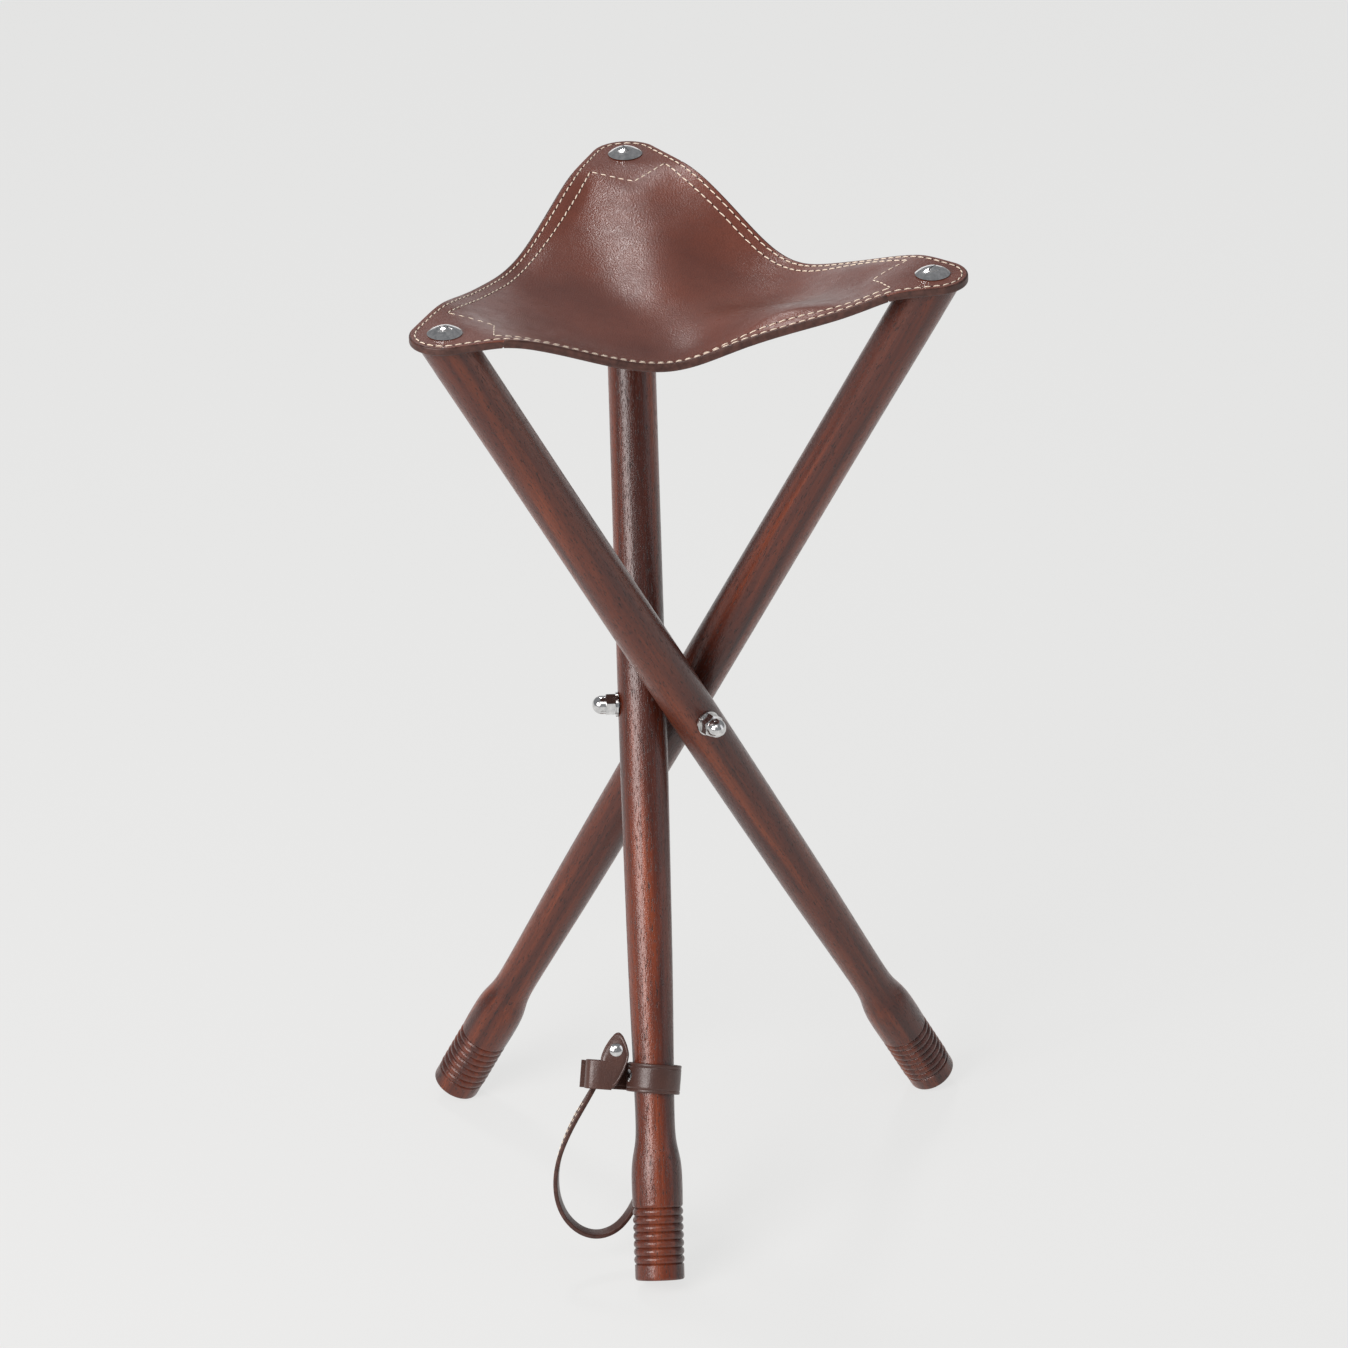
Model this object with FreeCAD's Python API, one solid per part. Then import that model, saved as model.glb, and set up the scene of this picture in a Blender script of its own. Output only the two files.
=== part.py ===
import FreeCAD, Part
import os, math, json
V = FreeCAD.Vector
os.makedirs("parts", exist_ok=True)

# ---------------------------------------------------------------- driving dimensions, mm and degrees
OPEN_ANGLE = {"a": 31.56, "b": 25.96, "c": 28.25}   # leg to pivot axis, open
CLOSED_LEFT = 3.0           # angle left when the folded leather lies between the leg tops
HUB_TILT = (0.0305, 0.0385)  # the pivot leans a little, as the seat corners are not cut quite evenly
STUD_AZIMUTH = {"a": 300.0, "b": 180.0, "c": 60.0}
RHO = 21.17                 # pivot centre to leg axis
S_PIVOT = 369.4             # foot end to pivot hole, along the leg
TOP_ABOVE_PIVOT = 307.6     # level cut of the leg tops above the pivot centre
WORN = 1.0                  # wear of the foot rim
R_FOOT = 15.8
GROOVE_0, GROOVE_PITCH, BEADS = 10.6, 5.1, 7
R_BEAD, R_GROOVE = 16.2, 14.9
SHAFT = [(56, 16.28), (64, 16.3), (72, 16.0), (79, 15.1), (85, 13.9), (91, 13.05), (98, 12.7), (108, 12.67),
         (125, 12.95), (144, 13.31), (180, 14.03), (252, 14.84), (324, 15.43), (396, 15.6), (468, 15.57),
         (540, 15.5), (612, 15.56), (684, 15.85), (750, 16.0)]
R_STUD = 4.0                # M8
R_HOLE = 4.05
R_LEG_AT_PIVOT = 15.56
WASHER_T, WASHER_R = 1.5, 8.0
NUT_AF, NUT_HEX, NUT_LEN = 13.0, 6.5, 15.0
PATCH_T = 2.2               # leather layer under each corner
LEATHER_T = 3.2             # seat leather
STRIP_T = 2.0               # strip sewn under each side
CORNER_R = 22.0             # leather corner round the screw
EDGE_IN = {"ab": 0.5, "bc": 10.0, "ca": 6.0}    # how far the sides curve in at their middle
CENTRE_SAG = 46.0
CORNER_KNOTS = [(14.0, 0.0, 0.3), (-12.0, 0.0, 0.0), (0.0, 14.0, 0.1), (0.0, -14.0, 0.1), (-22.0, 0.0, 0.0)]   # inward, sideways, drop
LOBE_KNOTS = {"a": [(36.0, 6.5), (85.0, 24.5)], "b": [(36.0, 7.5), (85.0, 27.0)], "c": [(36.0, 6.5), (85.0, 24.5)]}
CUP_R, CUP_H = 11.0, 4.2    # domed washer
SCREW_R, SCREW_HEAD_R = 2.5, 5.0
STRAP_S = 129.0             # strap above the foot end, along leg b
STRAP_LEAN = 6.0            # the loose strap hangs a little askew
STRAP_W, STRAP_T = 18.6, 2.4
LOOP_D = 6.0                # round stand-in of the flat wrist loop, 9 wide and 3 thick

# ---------------------------------------------------------------- placement of the legs
def rot_z_to(n):
    return FreeCAD.Rotation(V(0, 0, 1), n)

def rings(tilt):
    """Foot circles for a tilt of the pivot: centre, axis."""
    n = V(tilt[0], tilt[1], 1.0); n.normalize()
    R = rot_z_to(n)
    out = {}
    for k in "abc":
        p = math.radians(STUD_AZIMUTH[k]); th = math.radians(OPEN_ANGLE[k])
        u = V(math.cos(p), math.sin(p), 0); t = V(-math.sin(p), math.cos(p), 0)
        d = V(0, 0, 1) * math.cos(th) - t * math.sin(th)
        u = R.multVec(u); d = R.multVec(d)
        out[k] = (u * RHO - d * S_PIVOT, d, u)
    return out, R.multVec(V(0, 0, 1))

legs, hub_n = rings(HUB_TILT)
level = V(0, 0, 1)
for _ in range(30):         # the plane that touches the three foot rims
    low = []
    for k in "abc":
        F, d, u = legs[k]
        e = level - d * level.dot(d); e.normalize()
        low.append(F - e * R_FOOT)
    n = (low[1] - low[0]).cross(low[2] - low[0]); n.normalize()
    if n.z < 0: n = n * -1
    level = n
R = FreeCAD.Rotation(level, V(0, 0, 1))
legs = {k: (R.multVec(F), R.multVec(d), R.multVec(u)) for k, (F, d, u) in legs.items()}
hub_n = R.multVec(hub_n)
H = -min(F.z - R_FOOT * math.sqrt(1 - d.z ** 2) for F, d, u in legs.values()) - WORN
Z_TOP = H + TOP_ABOVE_PIVOT
HUB = V(0, 0, H)
legs = {k: (F + HUB, d, u) for k, (F, d, u) in legs.items()}
TOP = {k: F + d * ((Z_TOP - F.z) / d.z) for k, (F, d, u) in legs.items()}
CEN = (TOP["a"] + TOP["b"] + TOP["c"]) * (1 / 3.0)

def place(shape, origin, z, x=None):
    """Moves a shape from its own frame to origin, with its Z along z and its X near x."""
    z = V(z); z.normalize()
    x = V(1, 0, 0) if x is None else V(x)
    x = x - z * x.dot(z); x.normalize()
    y = z.cross(x)
    m = FreeCAD.Matrix(x.x, y.x, z.x, origin.x, x.y, y.y, z.y, origin.y, x.z, y.z, z.z, origin.z, 0, 0, 0, 1)
    s = shape.copy(); s.Placement = FreeCAD.Placement(m).multiply(s.Placement)
    return s

nodes = {}

# ---------------------------------------------------------------- turned legs, foot and shaft in one piece
def leg_profile():
    P = lambda s, r: V(r, 0, s)
    e = [Part.LineSegment(P(0, 0), P(0, R_FOOT - 1.6)),
         Part.Arc(P(0, R_FOOT - 1.6), P(0.469, R_FOOT - 0.469), P(1.6, R_FOOT)),
         Part.LineSegment(P(1.6, R_FOOT), P(GROOVE_0 - 0.8, R_FOOT)),
         Part.LineSegment(P(GROOVE_0 - 0.8, R_FOOT), P(GROOVE_0, R_GROOVE))]
    for k in range(BEADS):
        s = GROOVE_0 + GROOVE_PITCH * k
        e.append(Part.Arc(P(s, R_GROOVE), P(s + GROOVE_PITCH / 2, R_BEAD), P(s + GROOVE_PITCH, R_GROOVE)))
    s = GROOVE_0 + GROOVE_PITCH * BEADS
    e.append(Part.Arc(P(s, R_GROOVE), P(s + 0.9, R_GROOVE + 0.95), P(s + 2.4, 16.12)))
    c = Part.BSplineCurve(); c.interpolate([P(s + 2.4, 16.12)] + [P(a, b) for a, b in SHAFT])
    e.append(c)
    end = SHAFT[-1]
    e += [Part.LineSegment(P(end[0], end[1]), P(end[0], 0)), Part.LineSegment(P(end[0], 0), P(0, 0))]
    return Part.Wire([x.toShape() for x in e])

turned = Part.Face(leg_profile()).revolve(V(0, 0, 0), V(0, 0, 1), 360)
big = 2000.0
above = Part.makeBox(big, big, big, V(-big / 2, -big / 2, Z_TOP))
below = Part.makeBox(big, big, big, V(-big / 2, -big / 2, -big))
for k in "abc":
    F, d, u = legs[k]
    leg = place(turned, F, d, u).cut(above).cut(below)
    leg = leg.cut(Part.makeCylinder(R_HOLE, 60, HUB + u * (RHO - 30), u))
    leg = leg.cut(Part.makeCylinder(SCREW_R, 22, TOP[k] - V(0, 0, 20), V(0, 0, 1)))
    nodes["leg_" + k] = leg

# ---------------------------------------------------------------- three-way pivot with its washers and nuts
hub = Part.makeSphere(4.75, HUB)
for k in "abc":
    F, d, u = legs[k]
    hub = hub.fuse(Part.makeCylinder(R_STUD, RHO + R_LEG_AT_PIVOT + 1.63 + 9.5, HUB, u))
nodes["pivot_hub"] = hub.removeSplitter()

def ring(r0, r1, t):
    return Part.makeCylinder(r1, t).cut(Part.makeCylinder(r0, t))

for k in "abc":
    F, d, u = legs[k]
    side = V(0, 0, 1)
    nodes["spacer_washer_" + k] = place(ring(R_STUD, 6.2, 0.7), HUB + u * 4.8, u, side)
    x0 = RHO + R_LEG_AT_PIVOT + 0.13
    w = ring(R_STUD, WASHER_R, WASHER_T)
    nodes["outer_washer_" + k] = place(w, HUB + u * x0, u, side)
    c = NUT_AF / math.sqrt(3)
    pts = [V(c * math.cos(math.radians(60 * i)), c * math.sin(math.radians(60 * i)), 0) for i in range(7)]
    hexa = Part.Face(Part.makePolygon(pts)).extrude(V(0, 0, NUT_HEX))
    hexa = hexa.common(Part.Face(Part.Wire([Part.LineSegment(V(0, 0, 0), V(6.45, 0, 0)).toShape(),
        Part.LineSegment(V(6.45, 0, 0), V(c, 0, 0.55)).toShape(), Part.LineSegment(V(c, 0, 0.55), V(c, 0, NUT_HEX - 0.55)).toShape(),
        Part.LineSegment(V(c, 0, NUT_HEX - 0.55), V(6.45, 0, NUT_HEX)).toShape(), Part.LineSegment(V(6.45, 0, NUT_HEX), V(0, 0, NUT_HEX)).toShape(),
        Part.LineSegment(V(0, 0, NUT_HEX), V(0, 0, 0)).toShape()])).revolve(V(0, 0, 0), V(0, 0, 1), 360))
    rd = 6.05
    zc = NUT_LEN - rd
    dome = Part.makeCylinder(rd, zc).fuse(Part.makeSphere(rd, V(0, 0, zc)).common(Part.makeBox(40, 40, 40, V(-20, -20, zc))))
    nut = hexa.fuse(dome).removeSplitter().cut(Part.makeCylinder(R_STUD, 10.5, V(0, 0, -0.5)))
    nodes["acorn_nut_" + k] = place(nut, HUB + u * (x0 + WASHER_T), u, side)

# ---------------------------------------------------------------- seat leather
# how far the outline of each side hangs below the corners, along the side from its first corner to its second
PROFILE = {
    "ab": [(0.1, 0.2), (0.15, 1.4), (0.2, 5.0), (0.25, 8.8), (0.3, 12.1), (0.35, 14.8), (0.4, 17.4), (0.45, 19.6), (0.5, 20.4), (0.55, 20.0),
           (0.6, 18.0), (0.65, 14.8), (0.7, 11.4), (0.75, 7.7), (0.8, 4.0), (0.85, 1.0), (0.9, 0.2)],
    "bc": [(0.1, 0.2), (0.15, 0.7), (0.2, 3.6), (0.25, 8.7), (0.3, 14.6), (0.35, 21.3), (0.4, 28.0), (0.45, 33.2), (0.5, 35.6), (0.55, 34.9),
           (0.6, 31.2), (0.65, 26.4), (0.7, 21.5), (0.75, 16.4), (0.8, 11.2), (0.85, 6.2), (0.9, 1.8)],
    "ca": [(0.1, 1.0), (0.15, 6.0), (0.2, 10.3), (0.25, 13.3), (0.3, 16.0), (0.35, 18.9), (0.4, 22.3), (0.45, 26.6), (0.5, 30.8), (0.55, 32.6),
           (0.6, 30.8), (0.65, 26.6), (0.7, 21.0), (0.75, 14.8), (0.8, 8.9), (0.85, 3.6), (0.9, 0.6)]}

def knots():
    """Plan points and the drop of the hanging leather there."""
    C3 = [sum(TOP[k].x for k in "abc") / 3, sum(TOP[k].y for k in "abc") / 3]
    out = [(C3[0], C3[1], CENTRE_SAG)]
    for k in "abc":
        T = TOP[k]
        ix, iy = C3[0] - T.x, C3[1] - T.y
        n = math.hypot(ix, iy); ix, iy = ix / n, iy / n
        out.append((T.x, T.y, 0.1))
        for f, g, z in CORNER_KNOTS:
            out.append((T.x + ix * f - iy * g, T.y + iy * f + ix * g, z))
        for f, z in LOBE_KNOTS[k]:
            out.append((T.x + ix * f, T.y + iy * f, z))
    for key, rows in PROFILE.items():
        A, B = TOP[key[0]], TOP[key[1]]
        tx, ty = B.x - A.x, B.y - A.y
        L = math.hypot(tx, ty); nx, ny = ty / L, -tx / L
        if nx * ((A.x + B.x) / 2 - C3[0]) + ny * ((A.y + B.y) / 2 - C3[1]) < 0: nx, ny = -nx, -ny
        for t, z in rows:
            o = CORNER_R - EDGE_IN[key] * 4 * t * (1 - t)
            out.append((A.x + tx * t + nx * o, A.y + ty * t + ny * o, z))
    return out

def kernel(r2):
    return 0.0 if r2 < 1e-9 else r2 * math.log(r2 / 1e4) * 0.5e-2

def solve_plate(P, soft=2.0):
    """Weights of a thin plate through the knots."""
    n = len(P); m = n + 3
    A = [[0.0] * (m + 1) for _ in range(m)]
    for i in range(n):
        for j in range(n):
            A[i][j] = kernel((P[i][0] - P[j][0]) ** 2 + (P[i][1] - P[j][1]) ** 2)
        A[i][i] += soft
        row = (1.0, P[i][0] / 100, P[i][1] / 100)
        for q in range(3):
            A[i][n + q] = row[q]; A[n + q][i] = row[q]
        A[i][m] = P[i][2]
    for i in range(m):
        p = max(range(i, m), key=lambda r: abs(A[r][i]))
        A[i], A[p] = A[p], A[i]
        piv = A[i][i]
        for r in range(i + 1, m):
            f = A[r][i] / piv
            if f:
                for q in range(i, m + 1): A[r][q] -= f * A[i][q]
    x = [0.0] * m
    for i in range(m - 1, -1, -1):
        x[i] = (A[i][m] - sum(A[i][q] * x[q] for q in range(i + 1, m))) / A[i][i]
    return x

KNOTS = knots()
PLATE = solve_plate(KNOTS)

FOLD_WIDTH = 21.0
FOLDS = [(-98.8, -64.4, 0.34), (-112.3, -41.0, 1.71), (-98.8, -17.6, -1.33), (-85.3, -87.8, 0.58), (-71.8, -64.4, 2.32), (-85.3, -41.0, -0.41),
         (-71.8, -17.6, 0.27), (-85.3, 5.7, 1.19), (-71.8, 29.1, -1.89), (-44.8, -64.4, 1.17), (-58.3, -41.0, -0.71), (-44.8, -17.6, -1.95),
         (-58.3, 5.7, -3.99), (-44.8, 29.1, 1.43), (-58.3, 52.5, -2.22), (-44.8, 75.9, 1.3), (-58.3, 99.3, 0.97), (-44.8, 122.6, 3.27),
         (-17.8, -64.4, 1.67), (-31.3, -41.0, -1.74), (-17.8, -17.6, -0.54), (-31.3, 5.7, 0.54), (-17.8, 29.1, -6.53), (-17.8, 75.9, -4.64),
         (-31.3, 99.3, -0.31), (-17.8, 122.6, -4.3), (9.2, -64.4, 3.64), (9.2, -17.6, -1.87), (-4.3, 5.7, -3.97), (9.2, 29.1, -4.05),
         (-4.3, 52.5, -3.29), (9.2, 75.9, -2.61), (9.2, 122.6, 2.67), (36.2, -64.4, -0.24), (36.2, -17.6, -4.27), (22.7, 5.7, 1.22),
         (36.2, 29.1, -0.38), (36.2, 75.9, 0.71), (22.7, 99.3, -0.92), (63.2, -64.4, -4.61), (49.7, -41.0, -2.83), (63.2, -17.6, 1.4),
         (49.7, 5.7, 1.56), (63.2, 29.1, -0.54), (76.7, -41.0, -1.57), (90.2, -17.6, 3.26), (76.7, 5.7, 3.96), (103.7, -41.0, 3.44),
         (117.2, -17.6, -1.32), (103.7, 5.7, -3.18)]        # where the worn leather is pressed down (or stands up), and by how much

def fade(t):
    t = min(max(t, 0.0), 1.0)
    return t * t * (3 - 2 * t)

def folds(x, y):
    """The soft folds of the worn seat, gone at its edge and round the screws."""
    m = 1.0
    for key in ("ab", "bc", "ca"):
        A, B = TOP[key[0]], TOP[key[1]]
        tx, ty = B.x - A.x, B.y - A.y
        L = math.hypot(tx, ty); tx /= L; ty /= L
        nx, ny = -ty, tx
        if nx * (CEN.x - A.x) + ny * (CEN.y - A.y) < 0: nx, ny = -nx, -ny
        s = min(max(((x - A.x) * tx + (y - A.y) * ty) / L, 0.0), 1.0)
        m *= fade(((x - A.x) * nx + (y - A.y) * ny + CORNER_R - EDGE_IN[key] * 4 * s * (1 - s) - 1) / 17)
    for k in "abc":
        m *= fade((math.hypot(x - TOP[k].x, y - TOP[k].y) - 24) / 22)
    if m <= 0: return 0.0
    return m * sum(c * math.exp(-((x - a) ** 2 + (y - b) ** 2) / (2 * FOLD_WIDTH ** 2)) for a, b, c in FOLDS)

def drop(x, y):
    """How far the leather hangs below its corners."""
    q = PLATE[-3] + PLATE[-2] * x / 100 + PLATE[-1] * y / 100
    for w, k in zip(PLATE, KNOTS):
        q += w * kernel((x - k[0]) ** 2 + (y - k[1]) ** 2)
    q -= 0.6
    q = (q + math.sqrt(q * q + 0.8)) / 2
    return min(q, 80.0) + folds(x, y)

Z_LEATHER = Z_TOP + PATCH_T + 0.1      # underside of the seat leather at its corners
def hill(z0, off=0.0, n=50, half=200.0):
    g = []
    for i in range(n + 1):
        row = []
        for j in range(n + 1):
            x = CEN.x - half + 2 * half * i / n; y = CEN.y - half + 2 * half * j / n
            row.append(V(x, y, z0 - drop(x, y) - off))
        g.append(row)
    s = Part.BSplineSurface(); s.interpolate(g)
    return s

def slab(z0, z1):
    """Solid between two copies of the hanging surface."""
    lo, hi = hill(z0), hill(z1)
    f = [lo.toShape(), hi.toShape()]
    for a, b in zip(f[0].Edges, f[1].Edges):
        f.append(Part.makeRuledSurface(a, b))
    sh = Part.makeShell(f); sh.sewShape()
    so = Part.makeSolid(sh)
    if so.Volume < 0: so.reverse()
    return so

def outline(grow=0.0):
    """Plan outline of the leather: round corners and sides that curve in."""
    ks = ["a", "c", "b"]     # counter-clockwise
    segs = []
    P = {k: V(TOP[k].x, TOP[k].y, 0) for k in "abc"}
    r = CORNER_R + grow
    pts = []
    for i, k in enumerate(ks):
        prv, nxt = P[ks[i - 1]], P[ks[(i + 1) % 3]]
        here = P[k]
        def nrm(a, b):
            t = b - a; t.normalize(); return V(t.y, -t.x, 0)
        n0, n1 = nrm(prv, here), nrm(here, nxt)
        m = n0 + n1; m.normalize()
        pts.append((here + n0 * r, here + m * r, here + n1 * r, n1, EDGE_IN["".join(sorted(k + ks[(i + 1) % 3])).replace("ac", "ca")]))
    e = []
    for i in range(3):
        a, m, b, n1, dip = pts[i]
        nx = pts[(i + 1) % 3][0]
        e.append(Part.Arc(a, m, b).toShape())
        e.append(Part.Arc(b, (b + nx) * 0.5 - n1 * dip, nx).toShape())
    return Part.Wire(e)

def prism(wire, z0=-100, z1=1000):
    f = Part.Face(wire); f.translate(V(0, 0, z0))
    return f.extrude(V(0, 0, z1 - z0))

plan = prism(outline())
seat = slab(Z_LEATHER, Z_LEATHER + LEATHER_T).common(plan)
relief = slab(Z_LEATHER - 0.6, Z_LEATHER + 60)         # the inner rim of each leg top is eased to the leather's slope
for k in "abc":
    nodes["leg_" + k] = nodes["leg_" + k].cut(relief)
for k in "abc":
    seat = seat.cut(Part.makeCylinder(SCREW_R + 0.4, 100, TOP[k] - V(0, 0, 50), V(0, 0, 1)))
nodes["seat_leather"] = seat

# strips sewn under the sides, between the corner patches
under = slab(Z_LEATHER - 0.3 - STRIP_T, Z_LEATHER - 0.3)
for a, b in (("a", "b"), ("b", "c"), ("c", "a")):
    P, Q = V(TOP[a].x, TOP[a].y, 0), V(TOP[b].x, TOP[b].y, 0)
    t = Q - P; L = t.Length; t.normalize()
    nrm = V(t.y, -t.x, 0)
    if nrm.dot((P + Q) * 0.5 - V(CEN.x, CEN.y, 0)) < 0: nrm = nrm * -1
    def at(s, o): return P + t * s + nrm * o
    m = 46.0
    inset = EDGE_IN[a + b]
    e = [Part.Arc(at(m, CORNER_R - 0.6 - inset * 0.55), at(L / 2, CORNER_R - inset - 0.6), at(L - m, CORNER_R - 0.6 - inset * 0.55)).toShape(),
         Part.LineSegment(at(L - m, CORNER_R - 0.6 - inset * 0.55), at(L - m, CORNER_R - 28 - inset * 0.55)).toShape(),
         Part.Arc(at(L - m, CORNER_R - 28 - inset * 0.55), at(L / 2, CORNER_R - inset - 28), at(m, CORNER_R - 28 - inset * 0.55)).toShape(),
         Part.LineSegment(at(m, CORNER_R - 28 - inset * 0.55), at(m, CORNER_R - 0.6 - inset * 0.55)).toShape()]
    nodes["seat_side_strip_" + a + b] = under.common(prism(Part.Wire(e)))

# corner patch, cup washer and screw on each leg top
for k in "abc":
    T = TOP[k]
    inn = V(CEN.x - T.x, CEN.y - T.y, 0); inn.normalize()
    sid = V(-inn.y, inn.x, 0)
    c0 = V(T.x, T.y, 0)
    e = [Part.Arc(c0 + sid * 17.4 + inn * 2, c0 - inn * 17.4, c0 - sid * 17.4 + inn * 2).toShape(),
         Part.LineSegment(c0 - sid * 17.4 + inn * 2, c0 - sid * 15 + inn * 19).toShape(),
         Part.LineSegment(c0 - sid * 15 + inn * 19, c0 + sid * 15 + inn * 19).toShape(),
         Part.LineSegment(c0 + sid * 15 + inn * 19, c0 + sid * 17.4 + inn * 2).toShape()]
    f = Part.Face(Part.Wire(e)); f.translate(V(0, 0, Z_TOP))
    patch = f.extrude(V(0, 0, PATCH_T))
    patch = patch.common(slab(Z_TOP - 40, Z_TOP + PATCH_T - 0.2))
    patch = patch.cut(Part.makeCylinder(SCREW_R, 40, V(T.x, T.y, Z_TOP - 20)))
    nodes["seat_corner_patch_" + k] = patch
    z = Z_LEATHER + LEATHER_T + 0.25
    rs = (CUP_R ** 2 + CUP_H ** 2) / (2 * CUP_H)
    dome = Part.makeSphere(rs, V(T.x, T.y, z + CUP_H - rs)).common(Part.makeCylinder(CUP_R + 1, CUP_H, V(T.x, T.y, z)))
    dome = dome.cut(Part.makeSphere(rs - 1.3, V(T.x, T.y, z + CUP_H - rs)))
    hole = Part.makeCylinder(SCREW_R + 0.25, 20, V(T.x, T.y, z - 5))
    seat_r = Part.makeCylinder(SCREW_HEAD_R + 0.05, 6, V(T.x, T.y, z + CUP_H - 2.2))
    neck = Part.makeCylinder(SCREW_HEAD_R + 1.2, CUP_H - 0.9, V(T.x, T.y, z)).common(Part.makeSphere(rs, V(T.x, T.y, z + CUP_H - rs)))
    cup = dome.fuse(neck).removeSplitter().cut(hole).cut(seat_r)
    nodes["cup_washer_" + k] = cup
    hz = z + CUP_H - 2.2
    head = Part.makeCylinder(SCREW_HEAD_R, 1.3, V(T.x, T.y, hz))
    rs2 = 14.0
    cap = Part.makeSphere(rs2, V(T.x, T.y, hz + 2.5 - rs2)).common(Part.makeCylinder(SCREW_HEAD_R, 10, V(T.x, T.y, hz)))
    screw = cap.fuse(Part.makeCylinder(SCREW_R, hz - (Z_TOP - 18.0), V(T.x, T.y, Z_TOP - 18.0))).removeSplitter()
    slot = Part.makeBox(1.1, 20, 3, V(-0.55, -10, 0))
    slot.Placement = FreeCAD.Placement(V(T.x, T.y, hz + 1.3), FreeCAD.Rotation(V(0, 0, 1), {"a": 62, "b": 20, "c": -38}[k]))
    nodes["corner_screw_" + k] = screw.cut(slot)

# ---------------------------------------------------------------- closing strap on leg b
F, d, u = legs["b"]
S0 = F + d * STRAP_S
xr = V(1, 0, 0) - d * d.x; xr.normalize()
yb = d.cross(xr)
lean = math.radians(STRAP_LEAN)
xl = xr * math.cos(lean) - d * math.sin(lean)
zl = d * math.cos(lean) + xr * math.sin(lean)
def local(shape): return place(shape, S0, zl, xl)
def askew(x, y, z):
    """A point given square to the leg, in the strap's own leaning frame."""
    return (x * math.cos(lean) - z * math.sin(lean), y, z * math.cos(lean) + x * math.sin(lean))
r_in = 14.9
band = Part.makeCylinder(r_in + STRAP_T, STRAP_W, V(0, 0, -STRAP_W / 2)).cut(Part.makeCylinder(r_in, STRAP_W, V(0, 0, -STRAP_W / 2)))
def ribbon(pts, arcs, width, t, z0):
    """Strap bent in plan: points, with rounded corners of the given radii, t thick, width along Z."""
    segs = []; last = V(*pts[0])
    for i in range(1, len(pts) - 1):
        p, a, b = V(*pts[i]), V(*pts[i - 1]), V(*pts[i + 1])
        da, db = a - p, b - p; da.normalize(); db.normalize()
        half = math.acos(max(-1, min(1, da.dot(db)))) / 2
        l = arcs[i - 1] / math.tan(half)
        s, e = p + da * l, p + db * l
        bis = da + db; bis.normalize()
        mid = p + bis * (arcs[i - 1] / math.sin(half) - arcs[i - 1])
        if (s - last).Length > 1e-6: segs.append(Part.LineSegment(last, s).toShape())
        segs.append(Part.Arc(s, mid, e).toShape()); last = e
    segs.append(Part.LineSegment(last, V(*pts[-1])).toShape())
    w = Part.Wire(segs)
    a = pts[0]; dirn = V(*pts[1]) - V(*pts[0]); dirn.normalize()
    n = V(-dirn.y, dirn.x, 0)
    sec = Part.makePolygon([V(*a) + n * t / 2 + V(0, 0, z0), V(*a) - n * t / 2 + V(0, 0, z0), V(*a) - n * t / 2 + V(0, 0, z0 + width), V(*a) + n * t / 2 + V(0, 0, z0 + width), V(*a) + n * t / 2 + V(0, 0, z0)])
    return w.makePipeShell([Part.Wire(sec.Edges)], True, False, 0)

# the strap leaves the band at its back and runs out to the left, doubled on itself
tail = ribbon([(-6.0, 14.6, 0), (-20.0, 9.8, 0), (-33.0, 4.9, 0), (-47.0, 3.2, 0)], [20.0, 30.0], STRAP_W - 1.0, STRAP_T, -STRAP_W / 2 + 0.2)
ringcut = Part.makeCylinder(r_in, 60, V(0, 0, -30))
nodes["closing_strap"] = local(band.fuse(tail.cut(ringcut)).removeSplitter())
tab = ribbon([(-33.0, 0.6, 0), (-42.0, -0.6, 0), (-41.5, -9.4, 0), (-27.0, -9.2, 0)], [3.0, 4.0], STRAP_W, STRAP_T, -STRAP_W / 2)
tip = Part.Face(Part.makePolygon([V(*askew(x, 0, z)) for x, z in [(-35, 4), (-27, -6.5), (-19, 5), (-15.4, 14.5), (-16.5, 21.5), (-21.3, 31), (-28, 26), (-33.5, 17), (-35, 4)]])).extrude(V(0, STRAP_T, 0))
tip.translate(V(0, -9.2 - STRAP_T / 2, 0))
capd = Part.makeSphere(7.0, V(0, 0, 1.6 - 7.0)).common(Part.makeCylinder(4.2, 4, V(0, 0, 0))).fuse(Part.makeCylinder(1.6, 4.8, V(0, 0, -4.8)))
snap_at = V(*askew(-24.0, -9.2 - STRAP_T / 2, 19.2))
cap = place(capd, snap_at, V(0, -1, 0), V(1, 0, 0))
nodes["snap_tab"] = local(tab.fuse(tip).removeSplitter().cut(place(Part.makeCylinder(1.6, 8, V(0, 0, -6)), snap_at, V(0, -1, 0), V(1, 0, 0))))
sock = Part.makeCylinder(4.0, 1.6, V(0, 0, 0)).cut(Part.makeCylinder(1.6, 4, V(0, 0, -1)))
nodes["snap_socket"] = local(place(sock, snap_at + V(0, STRAP_T + 1.6, 0), V(0, -1, 0), V(1, 0, 0)))
nodes["snap_cap"] = local(cap)
rv_a = math.radians(200.0)
rv_n = V(math.cos(rv_a), math.sin(rv_a), 0)
rv = Part.makeSphere(8.0, V(0, 0, 1.3 - 8.0)).common(Part.makeCylinder(4.0, 3, V(0, 0, 0)))
nodes["strap_rivet"] = local(place(rv, rv_n * (r_in + STRAP_T + 0.05) + V(0, 0, 0.8), rv_n, V(0, 0, 1)))

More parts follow.
